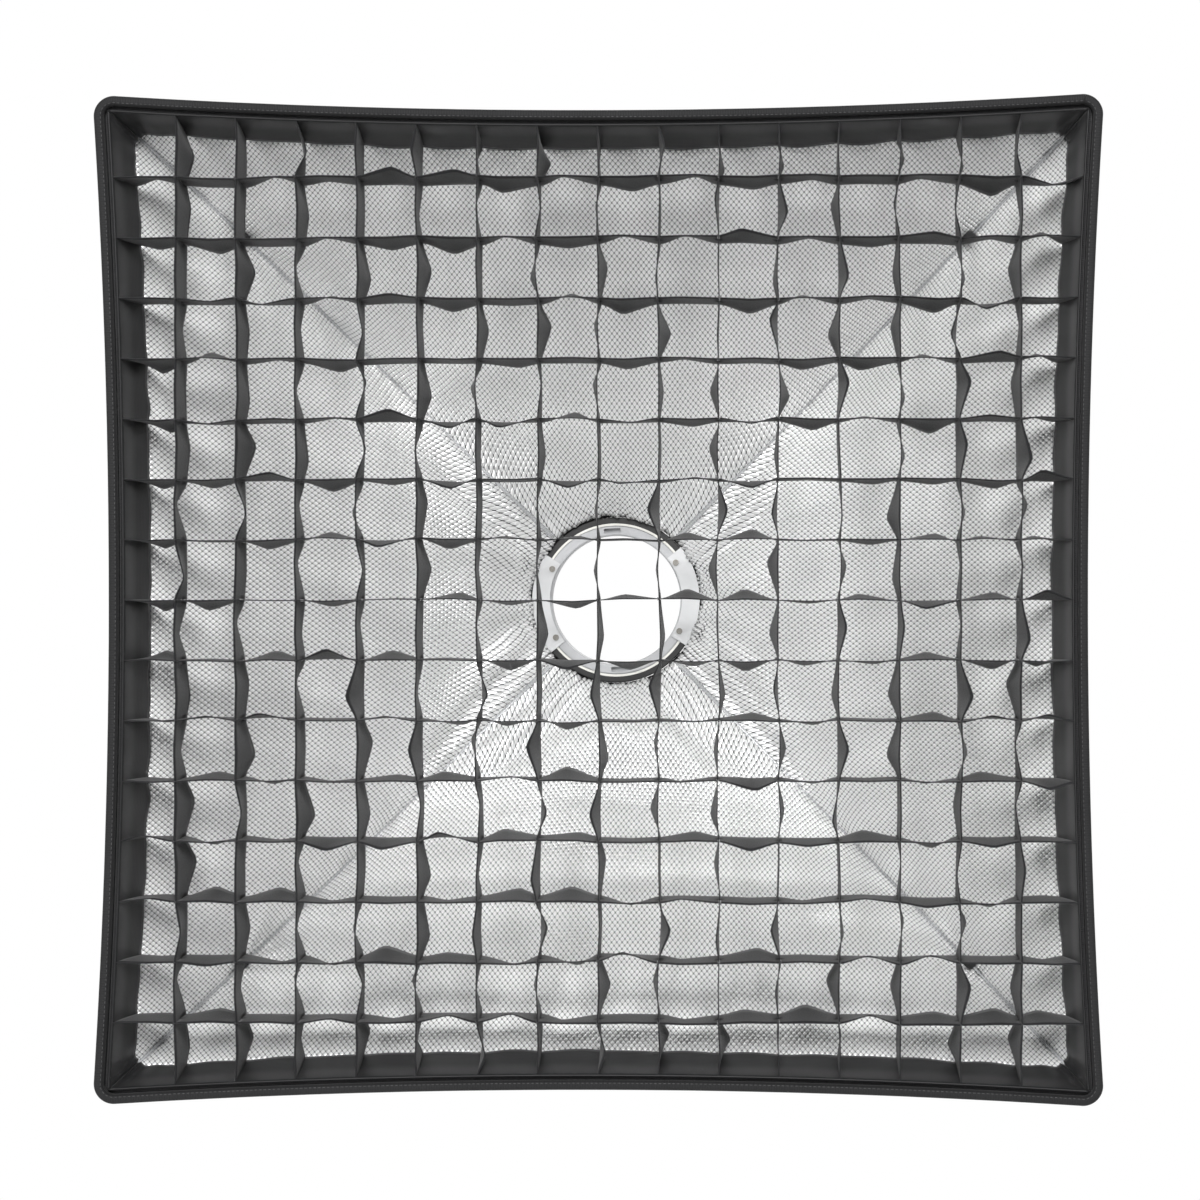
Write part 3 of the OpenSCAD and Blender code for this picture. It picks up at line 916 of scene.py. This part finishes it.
@dataclass
class FabricBox:
    """The cover, the silver lining, their seams and the tabs for an inner diffuser."""

    shell: Shell
    wrinkles: Wrinkles
    cover_k: float = -0.8
    cover_t: float = 1.2
    lining_k: float = 0.6
    lining_t: float = 0.8
    rows: int = 120
    cols: int = 132
    tape_w: float = 1.9
    tape_t: float = 0.45
    tape_top: float = 1.7
    tab_w: float = 8.0
    tab_len: float = 14.0
    tab_start: float = 3.0
    tab_nose: float = 1.3
    lining_gap: float = 0.004
    lip_from: float = -0.003
    lip_rows: int = 14

    def panel(self, side: int, k: float, lip: bool) -> tuple[Array, Array]:
        """Points and cloth places of one side's panel.

        Args:
            side: Place of the side in SIDES.
            k: The layer it lies in.
            lip: Whether it covers the lip too.

        Returns:
            The points, and where each lies on the flat cloth.
        """
        t = np.linspace(self.shell.lip_end + self.lining_gap, 1.0, self.rows)
        if lip:
            t = np.concatenate([np.linspace(self.lip_from, self.shell.lip_end, self.lip_rows), t])
        t = t[:, None]
        u = np.linspace(-1.0, 1.0, self.cols)[None, :]
        flat = self.shell.point(t, u, k)
        raised = self.shell.point(t, u, k + self.wrinkles.height(side, t, u))
        raised[..., 0] = flat[..., 0]
        return turned(raised, side), paired(u * self.shell.half(t), self.shell.slope(t))

    def build(self) -> None:
        """Makes and dresses every piece."""
        for side, name in enumerate(SIDES):
            points, cloth = self.panel(side, self.lining_k, lip=False)
            lining = make_sheet("silver_lining_" + name, points, SILVER, self.lining_t, cloth)
            place(lining, "softbox", "lining_silver", "lining_" + name)
            points, cloth = self.panel(side, self.cover_k, lip=True)
            cover = make_sheet("nylon_cover_" + name, points, COVER_BLACK, self.cover_t, cloth)
            place(cover, "softbox", "cover_black", "cover_" + name)
        self.seam_tapes()
        self.seam_stitches()
        self.tabs()

    def seam_tapes(self) -> None:
        """Narrow smooth tapes felled over the seams of the lining."""
        t = np.linspace(self.shell.lip_end + 0.006, 0.992, 150)[:, None]
        across = np.array([0.0, 0.25, 0.6, 1.0])[None, :]
        crown = np.array([0.5, 0.95, 1.0, 0.45])[None, :]
        for side, name in enumerate(SIDES):
            for hand, word in ((-1, "left"), (1, "right")):
                u = hand * (1 - across * self.tape_w / self.shell.half(t))
                uneven = 0.12 * Ripples(7 + side).at(t * 14, u)
                k = self.lining_k + self.lining_t / 2 + 0.1 + 0.35 * crown + uneven
                points = turned(self.shell.point(t, u, k), side)
                cloth = paired(across * self.tape_w, self.shell.slope(t))
                tape = make_sheet(f"seam_tape_{name}_{word}", points, SILVER_TAPE, self.tape_t, cloth)
                place(tape, "softbox", "lining_silver", "seam_tapes")

    def seam_stitches(self) -> None:
        """Stitches: along the seam tapes inside, and round the lip outside."""
        fine = np.linspace(self.shell.lip_end + 0.008, 0.985, 400)
        inside, outside = [], []
        for side in range(4):
            for hand in (-1, 1):
                u = hand * (1 - 0.8 * self.tape_w / self.shell.half(fine))
                inside.append(self.shell.stitch_row(side, fine, u, self.tape_top))
            u = np.linspace(-0.97, 0.97, 400)
            for t in (0.02, self.shell.lip_end - 0.012, self.shell.lip_end + 0.012):
                outside.append(self.shell.stitch_row(side, t, u, self.cover_k - self.cover_t / 2))
        seams = Stitching(pitch=4.0, thread=0.5).lay("lining_stitches", inside, THREAD_GREY)
        place(seams, "softbox", "lining_silver")
        place(Stitching().lay("cover_stitches", outside, THREAD_BLACK), "softbox", "cover_black")

    def tabs(self) -> None:
        """A short loop of webbing in each seam."""
        at_out, at_y = self.shell.seam(self.wrinkles.tab_at)
        angle = float(self.shell.angle(self.wrinkles.tab_at))
        turn = np.linspace(-math.pi / 2, math.pi / 2, 9)
        nose, flat, foot = self.tab_nose, 4.0, 0.6
        reach = np.concatenate([[0.0, flat], self.tab_len - nose + nose * np.cos(turn), [flat, 0.0]])
        lift = np.concatenate([[-foot, -nose], nose * np.sin(turn), [nose, foot]])
        back = self.tab_start + reach
        out = (at_out - back * math.cos(angle) - lift * math.sin(angle))[:, None]
        along = (at_y - back * math.sin(angle) + lift * math.cos(angle))[:, None]
        across = np.linspace(-self.tab_w / 2, self.tab_w / 2, 5)[None, :]
        cloth = paired(across, run_along(np.stack([reach, lift], axis=-1))[:, None])
        for corner, name in enumerate(CORNERS):
            points = from_corner(corner, out + 0 * across, along, across)
            tab = make_sheet("diffuser_tab_" + name, points, WEBBING, 0.9, cloth)
            place(tab, "softbox", "webbing_black", "baffle_tabs")


@dataclass
class Rim:
    """The folded binding round the front edge and the loop tape inside the lip."""

    shell: Shell
    thickness: float = 0.9
    edge_round: float = 2.4
    loop_k: float = 0.9
    loop_t: float = 1.1

    def build(self) -> None:
        """Makes and dresses every piece."""
        self.binding()
        self.loop_tape()

    def binding(self) -> None:
        """A ribbon folded over the edges of cover and tape, open to the back."""
        half_t = self.thickness / 2
        wide, deep, bend = self.shell.binding_w, self.shell.binding_d, self.edge_round
        quarter = np.linspace(0, math.pi / 2, 7)
        edge = deep - half_t
        outer = [(half_t, z) for z in np.linspace(0.2, deep - bend - half_t, 4)]
        outer += [(half_t + bend * (1 - math.cos(a)), edge - bend * (1 - math.sin(a))) for a in quarter]
        inner = [(wide - inset, forward) for inset, forward in reversed(outer)]
        section = np.array(outer + inner)
        path = self.shell.rim_path(section[:, 0])
        along = run_along(path[:, len(section) // 2])[:, None]
        sway = 0.25 * np.abs(Ripples(5).at(along / 46.0, along / 300.0))
        forward = deep - self.shell.box_depth - section[None, :, 1] + sway
        points = np.stack(np.broadcast_arrays(path[..., 0], forward, path[..., 1]), axis=-1).swapaxes(0, 1)
        cloth = paired(run_along(section)[:, None], along.T)
        ring = make_sheet("rim_binding_tape", points, BINDING, self.thickness, cloth, wrap=True)
        place(ring, "softbox", "binding_black", "rim_binding")
        line = self.shell.rim_path(np.array([wide - 1.6]), steps=120)[:, 0]
        front = np.stack([line[:, 0], np.full(len(line), 0.4 - self.shell.box_depth), line[:, 1]], axis=-1)
        up = np.tile([0.0, -1.0, 0.0], (len(front), 1))
        stitches = Stitching(pitch=3.6, thread=0.5).lay("binding_stitches", [(front, up)], THREAD_BLACK)
        place(stitches, "softbox", "binding_black")

    def loop_tape(self) -> None:
        """Brushed tape sewn inside the lip, for the grid's hook tape."""
        t = np.linspace(0.006, self.shell.lip_end - 0.008, 16)[:, None]
        u = np.linspace(-1, 1, 220)[None, :]
        for side, name in enumerate(SIDES):
            x, run = u * self.shell.half(t), self.shell.slope(t)
            fuzz = 0.14 * Ripples(17 + side, waves=9).at(x / 6.0, run / 6.0)
            points = turned(self.shell.point(t, u, self.loop_k + fuzz), side)
            tape = make_sheet("lip_loop_tape_" + name, points, LOOP_PILE, self.loop_t, paired(x, run))
            place(tape, "softbox", "loop_tape", "lip_loop_tape")


@dataclass
class Grid:
    """The egg-crate grid: a band with hook tape, thirty strips, and a tack at each crossing."""

    shell: Shell
    cells: int = 16
    margin: float = 16.0
    strip_t: float = 0.75
    strip_k: float = 4.75
    band_k: float = 4.0
    band_t: float = 1.0
    hook_k: float = 2.7
    hook_t: float = 1.1
    back_at: float = 0.098
    crease: float = 2.6
    crease_at: float = 0.55
    belly: float = 2.8
    bunch: float = 6.0
    bunch_reach: float = 9.0
    corner_fold: float = 3.0
    fold_mm: float = 3.4
    fold_reach: float = 13.0
    slot_w: float = 1.5
    tack_half: float = 1.3
    loose_share: float = 0.86
    back_share: float = 0.7
    kink_mm: tuple[float, float] = (2.2, 6.4)
    fade: float = 1.3
    per_cell: int = 12
    deep: int = 6
    jitter: float = 0.5
    strip_deep: float = 44.0
    band_deep: float = 46.0
    hook_deep: float = 40.0
    draw: np.random.Generator = field(default_factory=lambda: np.random.default_rng(2024))
    sway_x: Array = field(init=False)
    sway_z: Array = field(init=False)

    def __post_init__(self) -> None:
        """Draws how far each crossing has strayed."""
        shape = (self.cells + 1, self.cells + 1)
        self.sway_x = self.draw.normal(0.0, self.jitter, shape)
        self.sway_z = self.draw.normal(0.0, self.jitter, shape)

    def pitch(self) -> float:
        """Distance between strips."""
        return (self.shell.rim_w - 2 * self.margin) / self.cells

    def strip_at(self, index: int) -> float:
        """Where a strip stands across the opening, from 1 to the number of cells less 1."""
        return (index - self.cells / 2) * self.pitch()

    def build(self) -> None:
        """Makes and dresses every piece."""
        for index in range(1, self.cells):
            self.strip(index, upright=True)
            self.strip(index, upright=False)
        self.tacks()
        self.band()

    def kink(self, count: int) -> Array:
        """How far a strip's edges stray in each cell.

        Args:
            count: How many cells there are.

        Returns:
            One row for each cell, with a column for its front edge and one for its back.
        """
        size = self.draw.uniform(0.2, 1.0, (count, 2))
        loose = self.draw.uniform(0.0, 1.0, count) < self.loose_share
        least, more = self.kink_mm
        big = loose * (least + more * self.draw.uniform(0.0, 1.0, count) ** 1.2)
        back = self.draw.uniform(0.0, 1.0, count) < self.back_share
        size[np.arange(count), back.astype(int)] += big
        return size * self.draw.choice([-1.0, 1.0], (count, 1))

    def strip(self, index: int, upright: bool) -> None:
        """One strip, straight at its crossings and kinked between them.

        Args:
            index: Its place across the opening.
            upright: Whether it runs up and down, or from side to side.
        """
        at = self.strip_at(index)
        depth = np.linspace(0.0, 1.0, self.deep + 1)
        t = depth * self.back_at
        y = self.shell.seam(t)[1] - self.strip_k / ROOT2
        ends = self.shell.height_at(t, self.strip_k, at)
        sway = (self.sway_x[index, 1:-1], self.sway_z[index, 1:-1])
        if not upright:
            sway = (self.sway_z[1:-1, index], self.sway_x[1:-1, index])
        edges = np.concatenate([[0.0], sway[0], [0.0]])
        crossings = np.array([self.strip_at(i) for i in range(1, self.cells)]) + sway[1]
        slack = self.kink(self.cells)
        lean = self.draw.uniform(0.34, 0.66, self.cells)
        rows, run, offset, slots = [], [], [], []
        for cell in range(self.cells):
            low, high = -ends, ends
            if cell > 0:
                low = crossings[cell - 1] + self.slot_w / 2 + 0 * depth
            if cell < self.cells - 1:
                high = crossings[cell] - self.slot_w / 2 + 0 * depth
            stray = slack[cell, 0] * (1 - depth) ** self.fade + slack[cell, 1] * depth**self.fade
            for s in np.linspace(0.0, 1.0, self.per_cell + 1):
                bend = min(s / lean[cell], (1 - s) / (1 - lean[cell]))
                bulge = 1 - (1 - bend**1.35) ** 1.35
                rows.append(low + (high - low) * s)
                offset.append(at + edges[cell] + (edges[cell + 1] - edges[cell]) * s + stray * bulge)
                run.append((cell + s) * self.pitch())
                slots.append(s == 1.0 and cell < self.cells - 1)
        along, across = np.array(rows), np.array(offset)
        y_all = np.broadcast_to(y, along.shape)
        order = (across, y_all, along) if upright else (along, y_all, across)
        # Level strips are slotted from the front and upright ones from the back, to half their depth.
        cut = (np.arange(self.deep) + 0.5 < self.deep / 2) != upright
        gaps = np.array(slots[:-1])[:, None] & cut[None, :]
        cloth = paired(depth[None, :] * self.strip_deep, np.array(run)[:, None])
        word, points = "upright" if upright else "level", np.stack(order, axis=-1)
        made = make_sheet(f"grid_strip_{word}_{index}", points, STRIP_BLACK, self.strip_t, cloth, gaps=gaps)
        place(made, "grid", "strip_black", "grid_strips_" + word)

    def tacks(self) -> None:
        """A bar of thread over each crossing, front and back."""
        lines = []
        for i in range(1, self.cells):
            for j in range(1, self.cells):
                x = self.strip_at(i) + self.sway_x[i, j]
                z = self.strip_at(j) + self.sway_z[i, j]
                for t, up in ((0.0, -1.0), (self.back_at, 1.0)):
                    y = float(self.shell.seam(t)[1]) - self.strip_k / ROOT2 + up * 0.1
                    for hand in (1, -1):
                        reach = np.array([self.tack_half, 0.0, hand * self.tack_half])
                        line = np.array([x, y, z]) + np.outer([-1.0, 1.0], reach)
                        lines.append((line, np.tile([0.0, up, 0.0], (2, 1))))
        tacks = Stitching(pitch=3.6, thread=0.6).lay("grid_tacks", lines, THREAD_BLACK)
        place(tacks, "grid", "strip_black")

    def drape(self, side: int, t: Array, x: Array) -> Array:
        """How far the band stands in: its turned front half, and a slack belly between two strips.

        Args:
            side: Place of the side in SIDES.
            t: Places from the band's front edge, 0, to its back, 1.
            x: Distances off the side's middle.

        Returns:
            Heights in millimetres.
        """
        crease = self.crease * (1 - smooth(0.0, 1.0, np.clip(t / self.crease_at, 0.0, 1.0)))
        place_x = x / self.pitch() + self.cells / 2
        cell = np.clip(np.floor(place_x).astype(int), 0, self.cells - 1)
        slack = np.random.default_rng(300 + side).uniform(0.3, 1.0, self.cells)[cell]
        return crease + self.belly * slack * np.sin(math.pi * np.clip(place_x - cell, 0.0, 1.0)) * t**1.3

    def corner_folds(self, t: Array, off_corner: Array) -> Array:
        """How far the band stands in where it is bunched at a corner.

        Args:
            t: Places from the band's front edge, 0, to its back, 1.
            off_corner: Distances off the nearer corner.

        Returns:
            Heights in millimetres.
        """
        bunch = self.bunch * np.exp(-((off_corner / self.bunch_reach) ** 2)) * t**1.2
        wave = np.cos(off_corner / self.fold_mm) * np.exp(-off_corner / self.fold_reach)
        return bunch + self.corner_fold * wave * t**0.7 * smooth(0.0, 2.5, off_corner)

    def band(self) -> None:
        """The band's four sides, with hook tape on its back and a row of stitches at each edge."""
        t = np.linspace(0.0, 1.0, 14)[:, None]
        u = np.linspace(-1.0, 1.0, 330)[None, :]
        rows = []
        for side, name in enumerate(SIDES):
            half = self.shell.half(t * self.back_at)
            x = u * half
            off_corner = (1 - np.abs(u)) * half
            wavy = 0.0034 * Ripples(23 + side).at(x / 42.0, 0 * x) * t
            at = t * (self.back_at + wavy * smooth(0.0, 30.0, off_corner))
            swell = np.sin(math.pi * t) * 0.35 * Ripples(27 + side).at(x / 48.0, t * 0.5)
            k = self.band_k + swell + self.drape(side, t, x) + self.corner_folds(t, off_corner)
            points = turned(self.shell.point(at, u, k), side)
            cloth = paired(x, t * self.band_deep)
            made = make_sheet("satin_band_" + name, points, BAND_BLACK, self.band_t, cloth)
            place(made, "grid", "band_black", "grid_band_" + name)
            hook_at = 0.006 + t * (self.shell.lip_end - 0.014)
            points = turned(self.shell.point(hook_at, u, self.hook_k), side)
            cloth = paired(x, t * self.hook_deep)
            tape = make_sheet("hook_tape_" + name, points, HOOK_TAPE, self.hook_t, cloth)
            place(tape, "grid", "hook_tape", "grid_hook_tape")
            fine = np.linspace(-0.985, 0.985, 500)
            for row_at in (0.007, self.back_at - 0.008):
                rows.append(self.shell.stitch_row(side, row_at, fine, self.band_k + self.band_t / 2 + 0.15))
        stitches = Stitching(pitch=4.0, thread=0.5).lay("band_stitches", rows, THREAD_BLACK)
        place(stitches, "grid", "band_black")


@dataclass
class RodSleeves:
    """Sewn tunnels and reinforced pockets that hold the rods outside the corner seams."""

    shell: Shell
    rod_gap: float = 6.5
    sleeve_r: float = 4.0
    wall: float = 0.8
    sleeve_end: float = 0.72
    seam_rise: float = 1.35
    tip_back: float = 8.0
    pocket_r: float = 4.7
    pocket_len: float = 34.0
    pocket_front: float = 4.0

    def at_rod(self, corner: int, a: Array, radial: Array, across: Array) -> Array:
        """Points beside a rod.

        Args:
            corner: Place of the corner in CORNERS.
            a: Angles along the rod's arc.
            radial: Distances out from the rod's middle line.
            across: Distances off the diagonal plane.

        Returns:
            The points.
        """
        out_c, along_c, radius = self.shell.arc()[:3]
        reach = radius + self.rod_gap + radial
        return from_corner(corner, out_c + reach * np.cos(a), along_c + reach * np.sin(a), across)

    def build(self) -> None:
        """Makes and dresses every piece."""
        radius, start = self.shell.arc()[2:4]
        arc_r = radius + self.rod_gap
        tip = start + self.tip_back / arc_r
        first = tip + (self.pocket_len + 1.0) / arc_r
        for corner, name in enumerate(CORNERS):
            self.sleeve(corner, name, first, float(self.shell.angle(self.sleeve_end)), arc_r)
            self.pocket(corner, name, tip, arc_r)

    def web(self, t: Array) -> Array:
        """How far the seam lies from the rod's middle line at t."""
        return self.rod_gap + self.shell.neck(t) - self.seam_rise

    def sleeve(self, corner: int, name: str, first: float, last: float, arc_r: float) -> None:
        """A tunnel with a narrow web down to the seam.

        Args:
            corner: Place of the corner in CORNERS.
            name: The corner's name.
            first: Angle where it starts.
            last: Angle where it ends.
            arc_r: Radius of the rod's arc.
        """
        a = np.linspace(first, last, 110)[:, None]
        t = self.shell.place_of(a)
        round_at = np.radians(np.linspace(-158.0, 158.0, 25))[None, :]
        ripple = 1 + 0.05 * Ripples(41 + corner).at(t * 22.0, round_at * 0.15)
        web = self.web(t)
        ease_in = smooth(0.0, 0.02, t - t[0]) * smooth(0.0, 0.03, t[-1] - t)
        outer_r = self.sleeve_r * ripple * (0.93 + 0.07 * ease_in)
        inner_r = self.sleeve_r - self.wall - 0.1
        foot = np.array([[0.9, 0.45, -0.45, -0.9]])
        depth = np.concatenate([-0.75 * web, -web, -web, -0.75 * web], axis=1)
        outer = self.section(corner, a, outer_r, round_at, depth, foot)
        floor = -(inner_r + 0.2) + 0 * depth
        inner = self.section(corner, a, inner_r + 0 * ripple, round_at, floor, 0.25 * foot)
        rings = np.concatenate([outer, inner[::-1]], axis=0)
        flat = paired(np.linspace(0.0, 26.0, rings.shape[1])[None, :], (a - first) * arc_r)
        cloth = np.concatenate([flat, flat[::-1]])
        made = make_tube("rod_tunnel_" + name, rings, COVER_BLACK, cloth, loop=True)
        place(made, "softbox", "cover_black", "rod_sleeve_" + name)
        lines = []
        fine = np.linspace(first, last, 300)
        down = -np.minimum(0.5 * self.web(self.shell.place_of(fine)) + 2.0, 4.4)
        for hand in (-1.0, 1.0):
            line, far = (self.at_rod(corner, fine, down, hand * off + 0 * fine) for off in (1.05, 2.05))
            lines.append((line, unit(far - line)))
        place(Stitching().lay("tunnel_stitches_" + name, lines, THREAD_BLACK), "softbox", "cover_black")

    def section(
        self, corner: int, a: Array, size: Array, round_at: Array, depth: Array, foot: Array
    ) -> Array:
        """Rings of a round section that ends in a web.

        Args:
            corner: Place of the corner in CORNERS.
            a: Angles along the rod's arc, one row each.
            size: Radius of the round part.
            round_at: Angles round the section.
            depth: How far the web's points lie from the rod's middle line.
            foot: How far they lie to either side.

        Returns:
            Rings of points.
        """
        tunnel = self.at_rod(corner, a, size * np.cos(round_at), size * np.sin(round_at))
        web = self.at_rod(corner, a, depth, foot + 0 * a)
        return np.concatenate([tunnel, web], axis=1)

    def pocket(self, corner: int, name: str, tip: float, arc_r: float) -> None:
        """A pocket of webbing closed over the rod's tip.

        Args:
            corner: Place of the corner in CORNERS.
            name: The corner's name.
            tip: Angle where the rod ends.
            arc_r: Radius of the rod's arc.
        """
        nose_len = self.pocket_r * 0.55
        nose_at = nose_len * (1 - np.cos(np.radians(np.linspace(5.0, 90.0, 9)))) - self.pocket_front
        body_at = np.linspace(1.2 - self.pocket_front, self.pocket_len - self.pocket_front, 26)
        run = np.sort(np.concatenate([nose_at, body_at]))
        nose = np.clip((run - run[0]) / nose_len, 0.0, 1.0)
        swell = np.sqrt(np.clip(1 - (1 - nose) ** 2, 0.02, 1.0))[:, None]
        a = (tip + run / arc_r)[:, None]
        round_at = np.linspace(0, 2 * math.pi, 33)[None, :-1]
        hem = 1 + 0.05 * smooth(-6.0, -4.5, run - run[-1])[:, None]
        squash = 1 - 0.05 * Ripples(61 + corner).at(run[:, None] / 14.0, round_at * 0.3)
        outer_r = (self.pocket_r - 0.35) * swell * hem * squash
        inner_r = np.clip(outer_r - 0.75, 0.05, 3.75)
        deeper = (tip + np.maximum(run, run[0] + 0.9) / arc_r)[:, None]
        outer = self.at_rod(corner, a, outer_r * np.cos(round_at), outer_r * np.sin(round_at))
        inner = self.at_rod(corner, deeper, inner_r * np.cos(round_at), inner_r * np.sin(round_at))
        rings = np.concatenate([outer, inner[::-1]], axis=0)
        flat = paired(round_at * self.pocket_r, run[:, None])
        cloth = np.concatenate([flat, flat[::-1]])
        made = make_tube("rod_pocket_" + name, rings, WEBBING, cloth, loop=True)
        place(made, "softbox", "webbing_black", "corner_pocket_" + name)
        lines = []
        turn = np.linspace(-0.8 * math.pi, 0.8 * math.pi, 60)
        size = self.pocket_r - 0.3
        for back in (6.0, 26.0, 28.5):
            at = tip + (back - self.pocket_front) / arc_r + 0 * turn
            line, far = (
                self.at_rod(corner, at, r * np.cos(turn), r * np.sin(turn)) for r in (size, size + 1)
            )
            lines.append((line, unit(far - line)))
        stitches = Stitching(pitch=3.2, thread=0.55).lay("pocket_stitches_" + name, lines, THREAD_BLACK)
        place(stitches, "softbox", "webbing_black")


@dataclass
class SpeedRing:
    """The bayonet insert, the ring that turns on it, the rods, and the gathered collar."""

    shell: Shell
    collar_front: float = 19.4
    collar_back: float = 1.0
    collar_mid: float = 77.5
    collar_t: float = 0.8
    slot_back: float = 4.2
    slot_half: float = 7.6
    hem_r: float = 1.4
    hem_forward: float = -0.6
    hem_ribs: float = 118.0

    def build(self, nodes: dict[str, bpy.types.Object]) -> None:
        """Dresses the CAD nodes, and makes the collar and its hem.

        Args:
            nodes: The CAD nodes' objects by name.
        """
        for prefix, finish in (
            ("mount_insert", SHADED_INSERT_COAT),
            ("bayonet_lugs", ZINC),
            ("lug_rivets", ALUMINIUM),
            ("retainer_plate_", PLATE_COAT),
            ("retainer_screws", NICKEL),
            ("speed_ring", RING_BLACK),
            ("slip_ring", ACETAL),
            ("socket_rivets", ALUMINIUM),
            ("rod_ferrules", BRASS),
            ("rod_tips", RUBBER),
            ("rod_socket_", SOCKET_BLACK),
        ):
            for name in nodes:
                if name.startswith(prefix):
                    dress(nodes[name], finish)
        for corner in CORNERS:
            dress(nodes["rod_" + corner], SPRING_STEEL)
        self.collar()
        self.hem()

    def collar(self) -> None:
        """A cloth collar with a slot for each socket, gathered towards its hem."""
        front, back = self.collar_front, self.collar_back
        forward = np.array([front, 16.0, 12.5, 9.0, 6.4, self.slot_back, 2.6, back])[:, None]
        reach = self.slot_half / self.collar_mid
        slots = [math.radians(45 + 90 * i) for i in range(4)]
        stops = [np.linspace(at + reach, at + math.pi / 2 - reach, 76) for at in slots]
        angle = np.concatenate([np.concatenate([run, [run[-1] + reach]]) for run in stops])[None, :]
        in_slot = np.concatenate([np.concatenate([np.zeros(75, bool), [True, True]]) for _ in slots])
        deepen = smooth(self.collar_front, self.collar_back, forward)
        gather = Ripples(81, waves=6).at(angle * 11.0, forward / 40.0)
        radius = self.collar_mid + 0.1 + 0.5 * (0.25 + 0.75 * deepen) * (0.6 + 0.6 * gather)
        points = on_ring(angle, radius, forward)
        cloth = paired(angle * self.collar_mid, forward)
        gaps = (forward[1:] > self.slot_back - 0.01) & in_slot[None, :]
        made = make_sheet("cloth_collar", points, COVER_BLACK, self.collar_t, cloth, wrap=True, gaps=gaps)
        place(made, "softbox", "cover_black", "rear_collar")

    def hem(self) -> None:
        """Ruched elastic round the collar's rear edge."""
        angle = np.linspace(0, 2 * math.pi, 361)[:-1][:, None]
        around = np.linspace(0, 2 * math.pi, 15)[None, :-1]
        ribs = 0.12 * np.sin(angle * self.hem_ribs) + 0.08 * Ripples(83).at(angle * 20.0, around * 0.1)
        size = self.hem_r * (0.88 + ribs)
        radius = self.collar_mid + size * np.cos(around)
        rings = on_ring(angle, radius, self.hem_forward + size * np.sin(around))
        cloth = paired(around * self.hem_r, angle * self.collar_mid)
        made = make_tube("elastic_hem", rings, ELASTIC, cloth, loop=True)
        place(made, "softbox", "elastic_black", "collar_hem")


@dataclass
class Studio:
    """Camera, lamps, world and floor."""

    camera_at: tuple[float, float, float] = (0.110, -2.33, 0.0)
    lens: float = 75.9
    turn_deg: float = 0.6
    shift_x: float = -0.0915
    floor_z: float = -1.15
    floor_size: float = 4.4
    room_light: float = 0.45

    def build(self) -> None:
        """Makes the whole studio."""
        self.camera()
        self.lamp("upper_front_lamp", (0.15, -3.2, 1.35), 1.2, 185.0)
        self.lamp("left_front_lamp", (-1.5, -2.8, -0.5), 1.0, 34.0)
        self.lamp("rear_fill_lamp", (0.9, 2.4, 1.6), 1.4, 24.0)
        self.world()
        self.floor()

    def camera(self) -> None:
        """A camera a little to the right of the axis, level with it."""
        data = bpy.data.cameras.new("camera")
        data.lens, data.sensor_width, data.shift_x = self.lens, 36.0, self.shift_x
        made = bpy.data.objects.new("camera", data)
        made.location = self.camera_at
        made.rotation_euler = (math.radians(90.0), 0.0, math.radians(self.turn_deg))
        bpy.context.scene.collection.objects.link(made)
        bpy.context.scene.camera = made

    def lamp(self, name: str, at: tuple[float, float, float], size: float, power: float) -> None:
        """A soft square lamp that points at the object's middle.

        Args:
            name: Its name.
            at: Where it stands, in metres.
            size: Its side, in metres.
            power: Its power in watts.
        """
        data = bpy.data.lights.new(name, "AREA")
        data.size, data.energy = size, power
        made = bpy.data.objects.new(name, data)
        made.location = at
        aim = Vector((0.0, -0.15, 0.0)) - Vector(at)
        made.rotation_euler = aim.to_track_quat("-Z", "Y").to_euler()
        bpy.context.scene.collection.objects.link(made)

    def world(self) -> None:
        """A soft white room that looks plain white where it is seen or mirrored."""
        world = bpy.data.worlds.new("white_room")
        world.use_nodes = True
        tree = world.node_tree
        tree.nodes.clear()
        room, white = (
            add_node(tree, "Background", {}, {"Color": linear("#FFFFFF"), "Strength": strength}).outputs[0]
            for strength in (self.room_light, 1.0)
        )
        mixed = add_node(tree, "MixShader", {}, {0: self.seen_directly(tree), 1: room, 2: white})
        add_node(tree, "OutputWorld", {}, {"Surface": mixed.outputs[0]})
        bpy.context.scene.world = world

    def seen_directly(self, tree: bpy.types.NodeTree) -> bpy.types.NodeSocket:
        """1 where a ray comes from the camera, a gloss or a clear surface.

        Args:
            tree: The world's node tree.

        Returns:
            The socket that gives it.
        """
        path = add_node(tree, "LightPath").outputs
        seen = path["Is Camera Ray"]
        for kind in ("Is Glossy Ray", "Is Transmission Ray"):
            seen = add_node(tree, "Math", {"operation": "MAXIMUM"}, {0: seen, 1: path[kind]}).outputs[0]
        return seen

    def floor(self) -> None:
        """A pale matt floor below the object."""
        half = self.floor_size / 2 / MM
        z = self.floor_z / MM
        corners = np.array([[-half, -half, z], [half, -half, z], [half, half, z], [-half, half, z]])
        paint = Grained(
            "pale_floor_paint", "#F4F4F3", "#F0F0EF", 0.8, grain_mm=3.0, relief_mm=0.05, patch_mm=900.0
        )
        make_object("studio_floor", corners, [(0, 1, 2, 3)], paint)


def main() -> None:
    """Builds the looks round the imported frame."""
    logging.basicConfig(level=logging.INFO, format="%(name)s: %(message)s")
    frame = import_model()
    bpy.context.scene.view_settings.view_transform = "Standard"
    low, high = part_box("rim_binding")
    shell = Shell(rim_w=(high.x - low.x) / MM, box_depth=-low.y / MM)
    FabricBox(shell, Wrinkles(shell)).build()
    Rim(shell).build()
    Grid(shell).build()
    RodSleeves(shell).build()
    SpeedRing(shell).build(frame["nodes"])
    Studio().build()
    LOG.info("softbox dressed")


if __name__ == "__main__":
    main()
